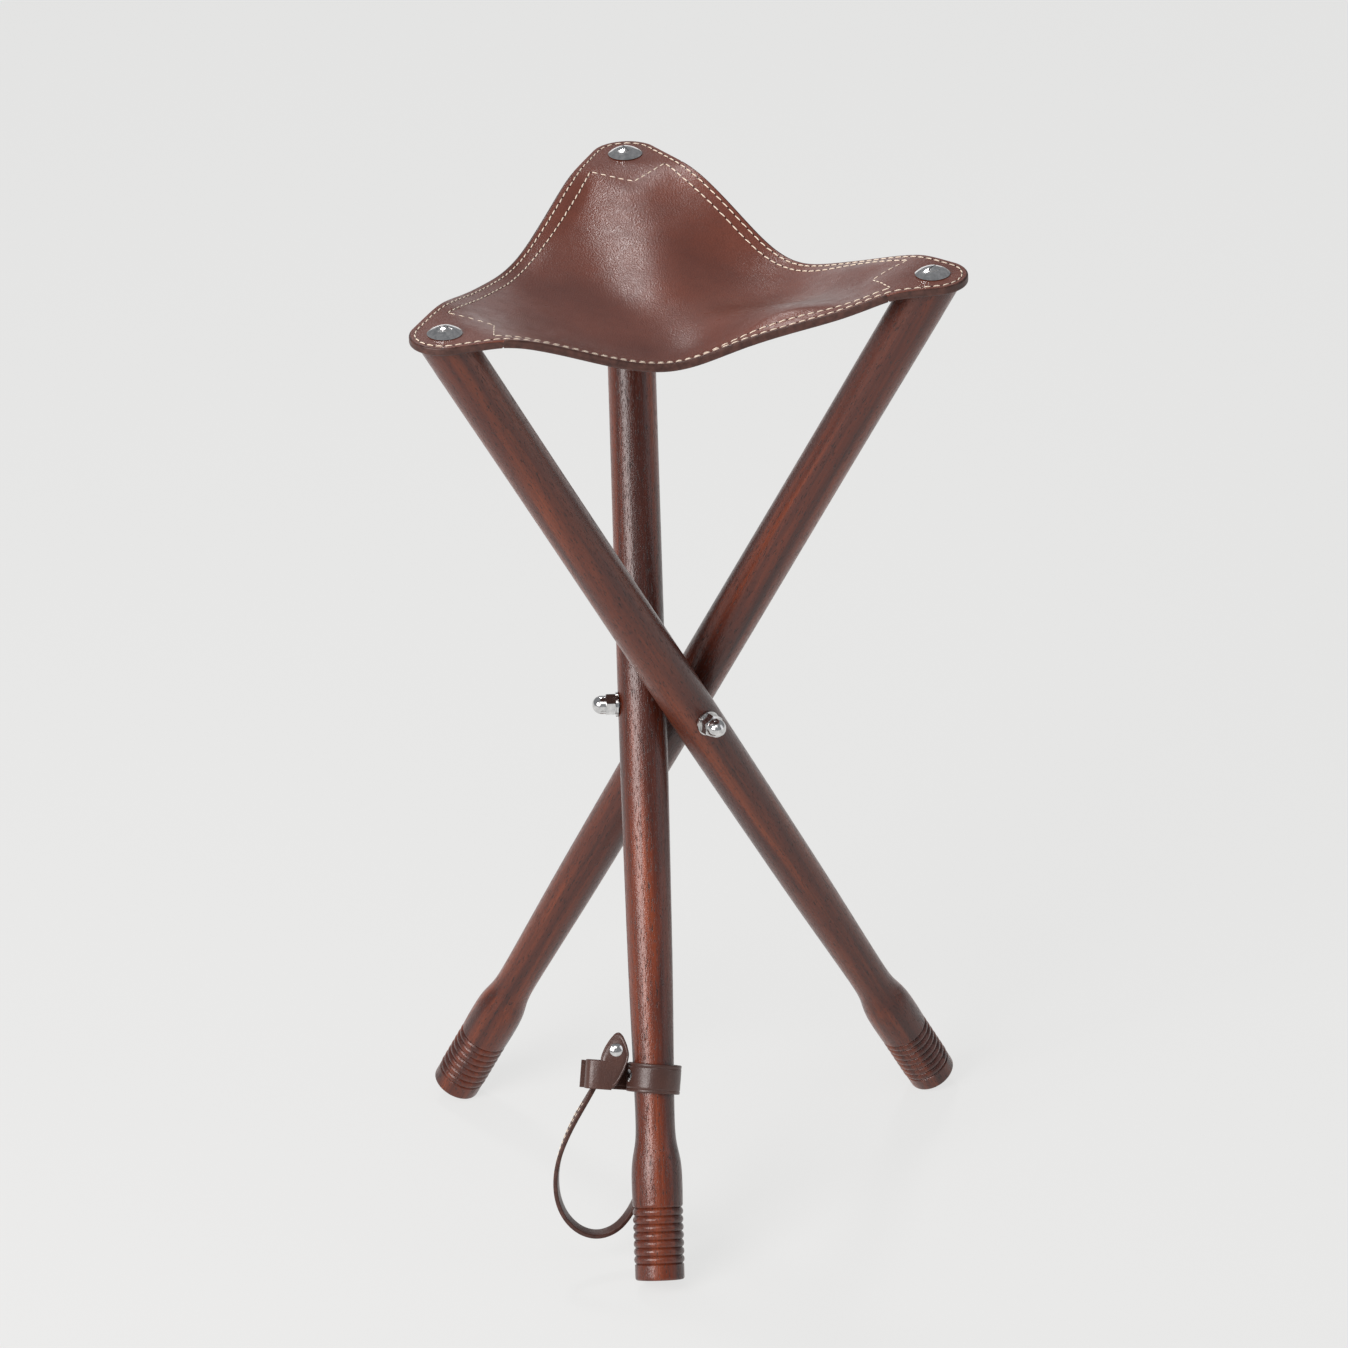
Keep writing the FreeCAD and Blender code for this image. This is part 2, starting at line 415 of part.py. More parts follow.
# ---------------------------------------------------------------- wrist loop: its route hangs from the strap and passes behind leg b
LOOP_SQUARE = [(-38.4, 2.6, -4.4), (-43.7, 2.4, -12.9), (-50.7, 2.6, -23.9), (-57.0, 3.6, -35.9), (-62.1, 5.2, -48.6), (-64.7, 7.8, -62.1), (-63.8, 10.8, -76.1), (-58.6, 14.4, -88.3),
               (-49.5, 18.2, -97.1), (-38.2, 21.6, -100.4), (-26.7, 24.0, -96.9), (-18.0, 25.6, -88.2), (-11.8, 26.2, -76.9), (-7.9, 25.6, -64.4), (-5.5, 24.2, -51.9), (-4.1, 22.2, -39.3),
               (-2.9, 20.0, -26.7), (-2.1, 18.0, -16.0), (-1.7, 17.2, -8.4)]
LOOP = [askew(*p) for p in LOOP_SQUARE]
def tube(points, dia):
    P = [V(*p) for p in points]
    run = [(b - a).Length for a, b in zip(P, P[1:])]
    segs = []; last = P[0]; length = 0.0; radii = []
    for i in range(1, len(P) - 1):
        da, db = P[i - 1] - P[i], P[i + 1] - P[i]; da.normalize(); db.normalize()
        turn = math.pi - math.acos(max(-1, min(1, da.dot(db))))
        l = 0.45 * min(run[i - 1], run[i]); r = l / math.tan(turn / 2)
        radii.append(round(r, 1))
        s, e = P[i] + da * l, P[i] + db * l
        bis = da + db; bis.normalize()
        half = (math.pi - turn) / 2
        mid = P[i] + bis * (r / math.sin(half) - r)
        segs.append(Part.LineSegment(last, s).toShape()); length += (s - last).Length
        segs.append(Part.Arc(s, mid, e).toShape()); length += r * turn
        last = e
    segs.append(Part.LineSegment(last, P[-1]).toShape()); length += (P[-1] - last).Length
    w = Part.Wire(segs)
    c = Part.Wire(Part.makeCircle(dia / 2, P[0], P[1] - P[0]))
    s = w.makePipeShell([c], True, False, 0)
    print("loop radii", radii, "runs", [round(x, 1) for x in run], "length", round(length, 1), "volume share", round(s.Volume / (math.pi * dia ** 2 / 4 * length), 4))
    return s
nodes["wrist_loop"] = local(tube(LOOP, LOOP_D))
p0, p1 = V(*LOOP[0]), V(*LOOP[1]); run = p1 - p0; run.normalize()
way = Part.makeCylinder(LOOP_D / 2 + 0.9, 40, p0 - run * 6, run)     # the tab leaves room for the loop
nodes["snap_tab"] = nodes["snap_tab"].cut(local(way))

# ---------------------------------------------------------------- origin: middle of the object's box on the floor
CORDS = ("wrist_loop",)
bb = FreeCAD.BoundBox()
for k, s in nodes.items():
    if k not in CORDS: bb.add(s.optimalBoundingBox(False, False) if hasattr(s, "optimalBoundingBox") else s.BoundBox)
OFF = V(-(bb.XMin + bb.XMax) / 2, -(bb.YMin + bb.YMax) / 2, -bb.ZMin)
for k in list(nodes):
    s = nodes[k].copy(); s.translate(OFF); nodes[k] = s
total = 0
for k, s in nodes.items():
    ok = s.isValid() and len(s.Solids) == 1
    if not ok: print("CHECK", k, s.isValid(), len(s.Solids))
    if len(s.Solids) == 1: s = s.Solids[0]
    if s.Volume < 0: s.reverse()
    s.exportStep("parts/%s.step" % k)
    b = s.BoundBox
    print("%-24s vol %10.1f  box %7.1f %7.1f %7.1f  %7.1f %7.1f %7.1f" % (k, s.Volume, b.XMin, b.YMin, b.ZMin, b.XMax, b.YMax, b.ZMax))
f3 = lambda v: [round(v.x, 4), round(v.y, 4), round(v.z, 4)]
print("GEOM", json.dumps({"off": f3(OFF), "hub": f3(HUB + OFF), "hub_n": f3(hub_n), "z_top": Z_TOP + OFF.z, "z_leather": Z_LEATHER + OFF.z, "cen": f3(CEN + OFF),
      "legs": {k: {"F": f3(F + OFF), "d": [d.x, d.y, d.z], "u": [u.x, u.y, u.z], "top": f3(TOP[k] + OFF)} for k, (F, d, u) in legs.items()},
      "strap": {"o": f3(S0 + OFF), "x": list(xr), "y": list(yb), "z": list(legs["b"][1]), "xl": list(xl), "zl": list(zl)},
      "rest": {k: [f3(f.CenterOfMass) for f in nodes["leg_" + k].Faces if abs(f.CenterOfMass.z) < 1e-4 and f.BoundBox.ZLength < 1e-3] for k in "abc"}}))
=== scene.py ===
import bpy, math
import numpy as np
from mathutils import Matrix, Vector

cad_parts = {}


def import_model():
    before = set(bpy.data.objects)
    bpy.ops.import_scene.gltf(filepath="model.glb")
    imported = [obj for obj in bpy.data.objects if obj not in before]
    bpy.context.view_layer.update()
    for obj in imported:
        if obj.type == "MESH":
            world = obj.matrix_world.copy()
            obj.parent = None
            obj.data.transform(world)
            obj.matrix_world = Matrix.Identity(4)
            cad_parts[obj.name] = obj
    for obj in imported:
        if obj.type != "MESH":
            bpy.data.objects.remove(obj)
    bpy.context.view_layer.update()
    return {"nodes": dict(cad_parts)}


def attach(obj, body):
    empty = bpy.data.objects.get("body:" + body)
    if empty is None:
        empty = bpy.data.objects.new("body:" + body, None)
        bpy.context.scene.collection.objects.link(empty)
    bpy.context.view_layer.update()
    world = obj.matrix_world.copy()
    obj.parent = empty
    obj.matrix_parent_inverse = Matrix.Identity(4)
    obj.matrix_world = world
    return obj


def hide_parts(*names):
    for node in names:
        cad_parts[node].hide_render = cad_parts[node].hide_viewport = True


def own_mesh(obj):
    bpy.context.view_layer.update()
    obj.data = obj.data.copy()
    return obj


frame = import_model()
NODES = frame["nodes"]
MM = 0.001
rng = np.random.default_rng(7)

# ---------------------------------------------------------------- the frame's own sizes, mm
HUB = np.array([-11.1771, 0.5493, 330.6839])
Z_TOP, Z_LEATHER = 638.2839, 640.5839
LEGS = {
    "a": dict(F=(154.9312, 65.7407, 6.5502), d=(-0.4209933947, -0.2260878082, 0.8784354641), u=(0.500394601, -0.8656300766, 0.01702392), top=(-147.8295, -96.852)),
    "b": dict(F=(-44.5647, -174.6746, 6.5135), d=(0.0331137716, 0.4743860551, 0.879693895), u=(-0.999305726, 0.0006780737, 0.0372505858), top=(-20.7833, 166.0156)),
    "c": dict(F=(-164.1247, 92.9151, 6.6775), d=(0.4426354226, -0.2004730389, 0.8740048303), u=(0.4989111251, 0.8649520029, -0.0542745057), top=(155.7492, -51.9583)),
}
for L in LEGS.values():
    for k in L:
        L[k] = np.array(L[k], float)
TOP = {k: L["top"] for k, L in LEGS.items()}
O = (TOP["a"] + TOP["b"] + TOP["c"]) / 3
LEATHER_T, STRIP_T = 3.2, 2.0


# ---------------------------------------------------------------- mesh helpers
def mesh(name, V, F, mats=(), normals=None, mat_index=None, sharp=None, attrs=None):
    me = bpy.data.meshes.new(name)
    me.from_pydata((np.asarray(V, float) * MM).tolist(), [], [list(map(int, f)) for f in F])
    me.polygons.foreach_set("use_smooth", [True] * len(F))
    if mat_index is not None:
        me.polygons.foreach_set("material_index", list(map(int, mat_index)))
    for m in mats:
        me.materials.append(m)
    for k, a in (attrs or {}).items():
        at = me.attributes.new(k, "FLOAT_VECTOR", "POINT")
        at.data.foreach_set("vector", np.asarray(a, np.float32).ravel())
    me.update()
    if normals is not None:
        n = np.asarray(normals, float)
        n /= np.maximum(np.linalg.norm(n, axis=1), 1e-9)[:, None]
        me.normals_split_custom_set(n.tolist())
    if sharp is not None:
        me.set_sharp_from_angle(angle=math.radians(sharp))
    ob = bpy.data.objects.new(name, me)
    bpy.context.scene.collection.objects.link(ob)
    return ob


class Build:
    """Collects groups of faces over shared vertices, each group with its own normals."""
    def __init__(self):
        self.V, self.F, self.N, self.M, self.A = [], [], [], [], []
        self.count = 0

    def add(self, P, A=None):
        P = np.asarray(P, float).reshape(-1, 3)
        i = np.arange(self.count, self.count + len(P))
        self.V.append(P); self.count += len(P)
        self.A.append(np.zeros_like(P) if A is None else np.asarray(A, float).reshape(-1, 3))
        return i

    def faces(self, F, nmap, m=0):
        """F: index lists; nmap: function or array from vertex index to normal, or None for flat."""
        V = np.concatenate(self.V)
        for f in F:
            f = [x for i, x in enumerate(f) if x != f[i - 1]]
            if len(f) < 3:
                continue
            self.F.append(f); self.M.append(m)
            if nmap is None:
                n = np.zeros(3)
                for i in range(len(f)):
                    n += np.cross(V[f[i - 1]], V[f[i]])
                n /= max(np.linalg.norm(n), 1e-12)
                self.N += [n] * len(f)
            else:
                self.N += [nmap[x] for x in f]

    def out(self, name, mats, attr=None):
        V = np.concatenate(self.V)
        return mesh(name, V, self.F, mats, normals=np.array(self.N), mat_index=self.M,
                    attrs={attr: np.concatenate(self.A) * MM} if attr else None)


def quads(I, closed_u=False, flip=False):
    I = np.asarray(I)
    a, b = I[:-1, :-1], I[1:, :-1]
    c, d = I[1:, 1:], I[:-1, 1:]
    Q = np.stack([a, b, c, d], -1).reshape(-1, 4)
    if closed_u:
        Q = np.concatenate([Q, np.stack([I[:-1, -1], I[1:, -1], I[1:, 0], I[:-1, 0]], -1)])
    return Q[:, ::-1] if flip else Q


# ---------------------------------------------------------------- materials
def material(name):
    m = bpy.data.materials.new(name)
    m.use_nodes = True
    nt = m.node_tree
    nt.nodes.clear()
    out = nt.nodes.new("ShaderNodeOutputMaterial")
    b = nt.nodes.new("ShaderNodeBsdfPrincipled")
    nt.links.new(b.outputs[0], out.inputs[0])
    return m, nt, b


class Nodes:
    def __init__(self, nt):
        self.nt = nt

    def new(self, kind, **kw):
        n = self.nt.nodes.new(kind)
        for k, v in kw.items():
            setattr(n, k, v)
        return n

    def link(self, a, b):
        self.nt.links.new(a, b)

    def put(self, sock, v):
        if hasattr(v, "is_linked") or hasattr(v, "links"):
            self.link(v, sock)
        else:
            sock.default_value = v

    def coords(self, attr=None):
        if attr:
            return self.new("ShaderNodeAttribute", attribute_name=attr).outputs["Vector"]
        return self.new("ShaderNodeTexCoord").outputs["Object"]

    def mapping(self, vec, scale=(1, 1, 1), loc=(0, 0, 0), rot=(0, 0, 0)):
        n = self.new("ShaderNodeMapping")
        self.link(vec, n.inputs["Vector"])
        n.inputs["Scale"].default_value = scale
        n.inputs["Location"].default_value = loc
        n.inputs["Rotation"].default_value = rot
        return n.outputs[0]

    def noise(self, vec, scale, detail=3, rough=0.55, distort=0.0):
        n = self.new("ShaderNodeTexNoise")
        self.link(vec, n.inputs["Vector"])
        n.inputs["Scale"].default_value = scale
        n.inputs["Detail"].default_value = detail
        n.inputs["Roughness"].default_value = rough
        n.inputs["Distortion"].default_value = distort
        return n.outputs["Fac"]

    def voronoi(self, vec, scale, feature="F1", rand=1.0):
        n = self.new("ShaderNodeTexVoronoi", feature=feature)
        self.link(vec, n.inputs["Vector"])
        n.inputs["Scale"].default_value = scale
        n.inputs["Randomness"].default_value = rand
        return n.outputs["Distance"]

    def ramp(self, fac, stops, interp="LINEAR"):
        n = self.new("ShaderNodeValToRGB")
        n.color_ramp.interpolation = interp
        e = n.color_ramp.elements
        while len(e) < len(stops):
            e.new(0.5)
        for el, (p, c) in zip(e, stops):
            el.position = p
            el.color = (*c, 1) if len(c) == 3 else c
        self.link(fac, n.inputs["Fac"])
        return n.outputs["Color"]

    def grey(self, fac, lo, hi, a=0.0, b=1.0):
        n = self.new("ShaderNodeMapRange")
        self.link(fac, n.inputs["Value"])
        n.inputs["From Min"].default_value = lo
        n.inputs["From Max"].default_value = hi
        n.inputs["To Min"].default_value = a
        n.inputs["To Max"].default_value = b
        return n.outputs["Result"]

    def math(self, op, a, b):
        n = self.new("ShaderNodeMath", operation=op)
        self.put(n.inputs[0], a)
        self.put(n.inputs[1], b)
        return n.outputs[0]

    def mix(self, fac, a, b, kind="MIX"):
        n = self.new("ShaderNodeMix", data_type="RGBA", blend_type=kind)
        self.put(n.inputs[0], fac)
        self.put(n.inputs[6], a)
        self.put(n.inputs[7], b)
        return n.outputs[2]

    def bump(self, height, strength, distance, normal=None):
        n = self.new("ShaderNodeBump")
        self.link(height, n.inputs["Height"])
        n.inputs["Strength"].default_value = strength
        n.inputs["Distance"].default_value = distance
        if normal is not None:
            self.link(normal, n.inputs["Normal"])
        return n.outputs[0]


def wood_material(name, seed, warm=1.0):
    """Turned hardwood under a red-brown gloss varnish, the grain along the leg."""
    m, nt, b = material(name)
    N = Nodes(nt)
    g = N.coords("grain")
    figure = N.noise(N.mapping(g, (1, 1, 0.05), (seed, 0, 0)), 70, 4, 0.55, 0.6)
    fibre = N.noise(N.mapping(g, (1, 1, 0.04), (0, seed, 0)), 620, 3, 0.6, 0.2)
    streak = N.noise(N.mapping(g, (1, 1, 0.02), (0, 0, seed)), 190, 3, 0.6, 0.3)
    pores = N.noise(N.mapping(g, (1, 1, 0.16), (seed, seed, 0)), 1300, 2, 0.5, 0.0)
    skin = N.noise(N.mapping(g, (1, 1, 0.55), (seed, 0, seed)), 900, 3, 0.6, 0.0)
    col = N.ramp(figure, [(0.30, (0.034, 0.0075, 0.0048)), (0.44, (0.078, 0.0155, 0.0074)), (0.58, (0.150 * warm, 0.029, 0.0095)), (0.78, (0.270 * warm, 0.056, 0.0145))])
    col = N.mix(N.grey(streak, 0.54, 0.72, 0, 0.50), col, (0.030, 0.0085, 0.0055, 1))
    col = N.mix(N.grey(fibre, 0.40, 0.70, 0, 0.35), col, (0.018, 0.0055, 0.004, 1))
    pore = N.grey(pores, 0.60, 0.68, 0, 1)
    col = N.mix(N.math("MULTIPLY", pore, 0.70), col, (0.010, 0.0035, 0.0028, 1))
    N.link(col, b.inputs["Base Color"])
    N.link(N.grey(pores, 0.45, 0.70, 0.30, 0.50), b.inputs["Roughness"])
    b.inputs["Specular IOR Level"].default_value = 0.38
    b.inputs["Coat Weight"].default_value = 0.40
    b.inputs["Coat Roughness"].default_value = 0.16
    b.inputs["Coat IOR"].default_value = 1.45
    h = N.math("SUBTRACT", N.math("ADD", N.math("MULTIPLY", fibre, 0.25), N.math("MULTIPLY", skin, 0.9)), N.math("MULTIPLY", pore, 0.7))
    bump = N.bump(h, 0.75, 0.00042)
    N.link(bump, b.inputs["Normal"])
    N.link(N.bump(h, 0.42, 0.00030), b.inputs["Coat Normal"])
    return m


def leather_material(name, base, dark, light, rough=0.40, grain=0.5, spec=0.42, attr=None, sheen=0.18):
    m, nt, b = material(name)
    N = Nodes(nt)
    g = N.coords(attr)
    cloud = N.noise(g, 14, 4, 0.6, 0.3)
    mottle = N.noise(g, 130, 4, 0.62, 0.0)
    pebble = N.voronoi(N.mapping(g, (1, 1, 1), (0.3, 0.1, 0)), 900)
    fine = N.noise(g, 1500, 3, 0.6)
    col = N.ramp(cloud, [(0.25, dark), (0.5, base), (0.78, light)])
    col = N.mix(N.grey(mottle, 0.42, 0.70, 0, 0.25), col, (*dark, 1))
    col = N.mix(N.grey(pebble, 0.35, 0.75, 0, 0.22), col, (dark[0] * 0.6, dark[1] * 0.6, dark[2] * 0.6, 1))
    N.link(col, b.inputs["Base Color"])
    N.link(N.grey(mottle, 0.3, 0.7, rough - 0.05, rough + 0.07), b.inputs["Roughness"])
    b.inputs["Specular IOR Level"].default_value = spec
    b.inputs["Sheen Weight"].default_value = sheen
    b.inputs["Sheen Roughness"].default_value = 0.45
    b.inputs["Sheen Tint"].default_value = (1.0, 0.78, 0.74, 1)
    h = N.math("ADD", N.math("MULTIPLY", pebble, 0.8), N.math("MULTIPLY", fine, 0.35))
    n1 = N.bump(h, grain, 0.00026)
    wrinkle = N.noise(N.mapping(g, (1, 1, 1), (2, 0, 0)), 55, 4, 0.6, 0.5)
    N.link(N.bump(wrinkle, 0.20, 0.0012, n1), b.inputs["Normal"])
    return m


def plain_material(name, c0, c1, scale, rough, spec=0.5, metal=0.0, coat=0.0, bump=0.1, dist=0.0002, detail=4):
    m, nt, b = material(name)
    N = Nodes(nt)
    g = N.coords()
    f = N.noise(g, scale, detail, 0.6)
    N.link(N.ramp(f, [(0.32, c0), (0.68, c1)]), b.inputs["Base Color"])
    N.link(N.grey(f, 0.3, 0.7, rough * 0.8, rough * 1.25), b.inputs["Roughness"])
    b.inputs["Metallic"].default_value = metal
    b.inputs["Specular IOR Level"].default_value = spec
    b.inputs["Coat Weight"].default_value = coat
    N.link(N.bump(N.noise(g, scale * 3, 3, 0.6), bump, dist), b.inputs["Normal"])
    return m


WOOD = {k: wood_material("varnished_wood_" + k, s, w) for k, s, w in (("a", 0.37, 0.95), ("b", 1.91, 1.05), ("c", 4.13, 1.0))}
SEAT = leather_material("seat_leather", (0.165, 0.047, 0.029), (0.118, 0.032, 0.020), (0.212, 0.064, 0.040), 0.32, 0.55, 0.42, None, 0.0)
LINING = leather_material("lining_leather", (0.085, 0.033, 0.024), (0.050, 0.020, 0.016), (0.12, 0.048, 0.034), 0.62, 0.6, 0.25, None, 0.05)
EDGE = plain_material("burnished_edge", (0.040, 0.016, 0.012), (0.085, 0.034, 0.025), 260, 0.42, 0.4, 0, 0, 0.35, 0.0002)
STRAP = leather_material("strap_leather", (0.072, 0.031, 0.023), (0.046, 0.019, 0.015), (0.105, 0.046, 0.034), 0.33, 0.3, 0.5, None, 0.02)
THREAD = plain_material("waxed_thread", (0.74, 0.60, 0.46), (0.92, 0.82, 0.68), 900, 0.55, 0.4, 0, 0, 0.5, 0.0001)
# painted shade: the stitch holes are not cut, and dark discs in this colour stand in for their shade
HOLE_SHADE = plain_material("stitch_hole_painted_shade", (0.022, 0.009, 0.007), (0.040, 0.016, 0.012), 400, 0.7, 0.2)
NICKEL = plain_material("polished_nickel", (0.50, 0.50, 0.50), (0.78, 0.77, 0.76), 330, 0.14, 0.5, 1.0, 0, 0.15, 0.0003)
STEEL = plain_material("plain_steel", (0.42, 0.42, 0.43), (0.60, 0.60, 0.61), 300, 0.28, 0.5, 1.0, 0, 0.08, 0.0001)


# ---------------------------------------------------------------- turned legs
R_FOOT, GROOVE_0, PITCH, BEADS, R_BEAD, R_GROOVE = 15.8, 10.6, 5.1, 7, 16.2, 14.9
SHAFT = [(48.7, 16.12), (56, 16.28), (64, 16.3), (72, 16.0), (79, 15.1), (85, 13.9), (91, 13.05), (98, 12.7), (108, 12.67),
         (125, 12.95), (144, 13.31), (180, 14.03), (252, 14.84), (324, 15.43), (396, 15.6), (468, 15.57),
         (540, 15.5), (612, 15.56), (684, 15.85), (750, 16.0)]


def arc3(p, q, r, n):
    """Points on the circle through three points, from p to r."""
    p, q, r = map(np.array, (p, q, r))
    ax, ay = q - p; bx, by = r - p
    det = 2 * (ax * by - ay * bx)
    c = p + np.array([by * (ax * ax + ay * ay) - ay * (bx * bx + by * by), ax * (bx * bx + by * by) - bx * (ax * ax + ay * ay)]) / det
    R = np.linalg.norm(p - c)
    t0 = math.atan2(*(p - c)[::-1]); t1 = math.atan2(*(r - c)[::-1]); tm = math.atan2(*(q - c)[::-1])
    if (t1 - t0) % (2 * math.pi) < (tm - t0) % (2 * math.pi):
        t1 = t0 - ((t0 - t1) % (2 * math.pi))
    else:
        t1 = t0 + ((t1 - t0) % (2 * math.pi))
    t = np.linspace(t0, t1, n)
    return np.stack([c[0] + R * np.cos(t), c[1] + R * np.sin(t)], 1)


def natural_spline(x, y, xs):
    x, y = np.array(x, float), np.array(y, float)
    n = len(x); h = np.diff(x)
    A = np.zeros((n, n)); r = np.zeros(n)
    A[0, 0] = A[-1, -1] = 1
    for i in range(1, n - 1):
        A[i, i - 1], A[i, i], A[i, i + 1] = h[i - 1], 2 * (h[i - 1] + h[i]), h[i]
        r[i] = 6 * ((y[i + 1] - y[i]) / h[i] - (y[i] - y[i - 1]) / h[i - 1])
    M = np.linalg.solve(A, r)
    i = np.clip(np.searchsorted(x, xs) - 1, 0, n - 2)
    a, b = x[i + 1] - xs, xs - x[i]
    return (M[i] * a ** 3 + M[i + 1] * b ** 3) / (6 * h[i]) + (y[i] / h[i] - M[i] * h[i] / 6) * a + (y[i + 1] / h[i] - M[i + 1] * h[i] / 6) * b


def leg_profile():
    out = [(0.0, 0.0), (0.0, 6.0), (0.0, 11.0), (0.0, R_FOOT - 1.6)]
    out += [tuple(p) for p in arc3((0, R_FOOT - 1.6), (0.469, R_FOOT - 0.469), (1.6, R_FOOT), 7)[1:]]
    out += [(s, R_FOOT) for s in np.linspace(3, GROOVE_0 - 0.8, 4)]
    out += [(GROOVE_0 - 0.35, R_FOOT - 0.42), (GROOVE_0, R_GROOVE)]
    for k in range(BEADS):
        s = GROOVE_0 + PITCH * k
        out += [tuple(p) for p in arc3((s, R_GROOVE), (s + PITCH / 2, R_BEAD), (s + PITCH, R_GROOVE), 13)[1:]]
    s = GROOVE_0 + PITCH * BEADS
    out += [tuple(p) for p in arc3((s, R_GROOVE), (s + 0.9, R_GROOVE + 0.95), (s + 2.4, 16.12), 7)[1:]]
    xs = np.concatenate([np.arange(50.2, 130, 1.5), np.arange(132, 735, 6.0)])
    ys = natural_spline([p[0] for p in SHAFT], [p[1] for p in SHAFT], xs)
    return np.array(out + list(zip(xs, ys)))


def make_leg(k):
    L = LEGS[k]
    F, d, u = L["F"], L["d"], L["u"]
    v = np.cross(d, u)
    prof = leg_profile()
    n = 128
    ph = np.arange(n) * 2 * math.pi / n
    ring = np.cos(ph)[:, None] * u + np.sin(ph)[:, None] * v
    tops = (Z_TOP - F[2] - 15.83 * ring[:, 2]) / d[2]          # where each line of the shaft meets the level cut
    smin = tops.min() - 8
    prof = prof[prof[:, 0] < smin]
    V, A = [], []
    for s, r in prof:
        P = F + s * d + r * ring
        P[:, 2] = np.maximum(P[:, 2], 0.0)
        V.append(P)
        A.append(np.stack([r * np.cos(ph), r * np.sin(ph), np.full(n, s)], 1))
    s0 = prof[-1, 0]
    for f in np.linspace(0, 1, 7)[1:]:
        s = s0 + (tops - s0) * f
        V.append(F + s[:, None] * d + 15.83 * ring)
        A.append(np.stack([15.83 * np.cos(ph), 15.83 * np.sin(ph), s], 1))
    V[-1][:, 2] = np.minimum(Z_TOP, Z_LEATHER - 2.35 - drop(V[-1][:, 0], V[-1][:, 1]))
    c = F + d * ((Z_TOP - F[2]) / d[2])
    for f in (0.93, 0.5):
        V.append(c + (V[-1] - c) * f if f == 0.93 else c + (V[-2] - c) * f)
        A.append(A[-1] * np.array([f, f, 1]))
    m = len(V)
    V, A = np.concatenate(V), np.concatenate(A)
    I = np.arange(m * n).reshape(m, n)
    Fc = [list(q) for q in quads(I, True, True)]
    # close the ends
    first = I[0]
    V[first] = V[first].mean(0)
    V = np.concatenate([V, [c]]); A = np.concatenate([A, [[0, 0, A[-1][2]]]])
    last = I[-1]
    Fc = [q for q in Fc if not (q[0] in first[1:] and False)]
    keep = []
    fs = set(first.tolist())
    for q in Fc:
        q = [int(first[0]) if x in fs else int(x) for x in q]
        q = [x for i, x in enumerate(q) if x != q[i - 1]]
        if len(q) > 2:
            keep.append(q)
    for i in range(n):
        keep.append([int(last[i]), int(last[(i + 1) % n]), len(V) - 1])
    used = sorted({x for q in keep for x in q})
    re = {x: i for i, x in enumerate(used)}
    V, A = V[used], A[used]
    keep = [[re[x] for x in q] for q in keep]
    # the faces look outward
    q = keep[len(keep) // 2]
    nrm = np.cross(V[q[1]] - V[q[0]], V[q[2]] - V[q[0]])
    mid = V[q].mean(0)
    out = mid - (F + d * np.dot(mid - F, d))
    if np.dot(nrm, out) < 0:
        keep = [x[::-1] for x in keep]
    rot = {"a": 0.6, "b": 2.0, "c": 4.1}[k]
    A = np.stack([A[:, 0] * math.cos(rot) - A[:, 1] * math.sin(rot), A[:, 0] * math.sin(rot) + A[:, 1] * math.cos(rot) + 40 * rot, A[:, 2]], 1)
    ob = mesh("turned_leg_" + k, V, keep, [WOOD[k]], sharp=38, attrs={"grain": A * MM})
    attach(ob, "leg_" + k)
    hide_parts("leg_" + k)
    return ob



# ---------------------------------------------------------------- hanging leather surface
CENTRE_SAG = 46.0
EDGE_IN = {"ab": 0.5, "bc": 10.0, "ca": 6.0}
CORNER_R = 22.0
CORNER_KNOTS = [(14.0, 0.0, 0.3), (-12.0, 0.0, 0.0), (0.0, 14.0, 0.1), (0.0, -14.0, 0.1), (-22.0, 0.0, 0.0)]   # inward, sideways, drop
LOBE_KNOTS = {"a": [(36.0, 6.5), (85.0, 24.5)], "b": [(36.0, 7.5), (85.0, 27.0)], "c": [(36.0, 6.5), (85.0, 24.5)]}
# how far the outline of each side hangs below the corners, along the side from its first corner to its second
PROFILE = {
    "ab": [(0.1, 0.2), (0.15, 1.4), (0.2, 5.0), (0.25, 8.8), (0.3, 12.1), (0.35, 14.8), (0.4, 17.4), (0.45, 19.6), (0.5, 20.4), (0.55, 20.0),
           (0.6, 18.0), (0.65, 14.8), (0.7, 11.4), (0.75, 7.7), (0.8, 4.0), (0.85, 1.0), (0.9, 0.2)],
    "bc": [(0.1, 0.2), (0.15, 0.7), (0.2, 3.6), (0.25, 8.7), (0.3, 14.6), (0.35, 21.3), (0.4, 28.0), (0.45, 33.2), (0.5, 35.6), (0.55, 34.9),
           (0.6, 31.2), (0.65, 26.4), (0.7, 21.5), (0.75, 16.4), (0.8, 11.2), (0.85, 6.2), (0.9, 1.8)],
    "ca": [(0.1, 1.0), (0.15, 6.0), (0.2, 10.3), (0.25, 13.3), (0.3, 16.0), (0.35, 18.9), (0.4, 22.3), (0.45, 26.6), (0.5, 30.8), (0.55, 32.6),
           (0.6, 30.8), (0.65, 26.6), (0.7, 21.0), (0.75, 14.8), (0.8, 8.9), (0.85, 3.6), (0.9, 0.6)]}


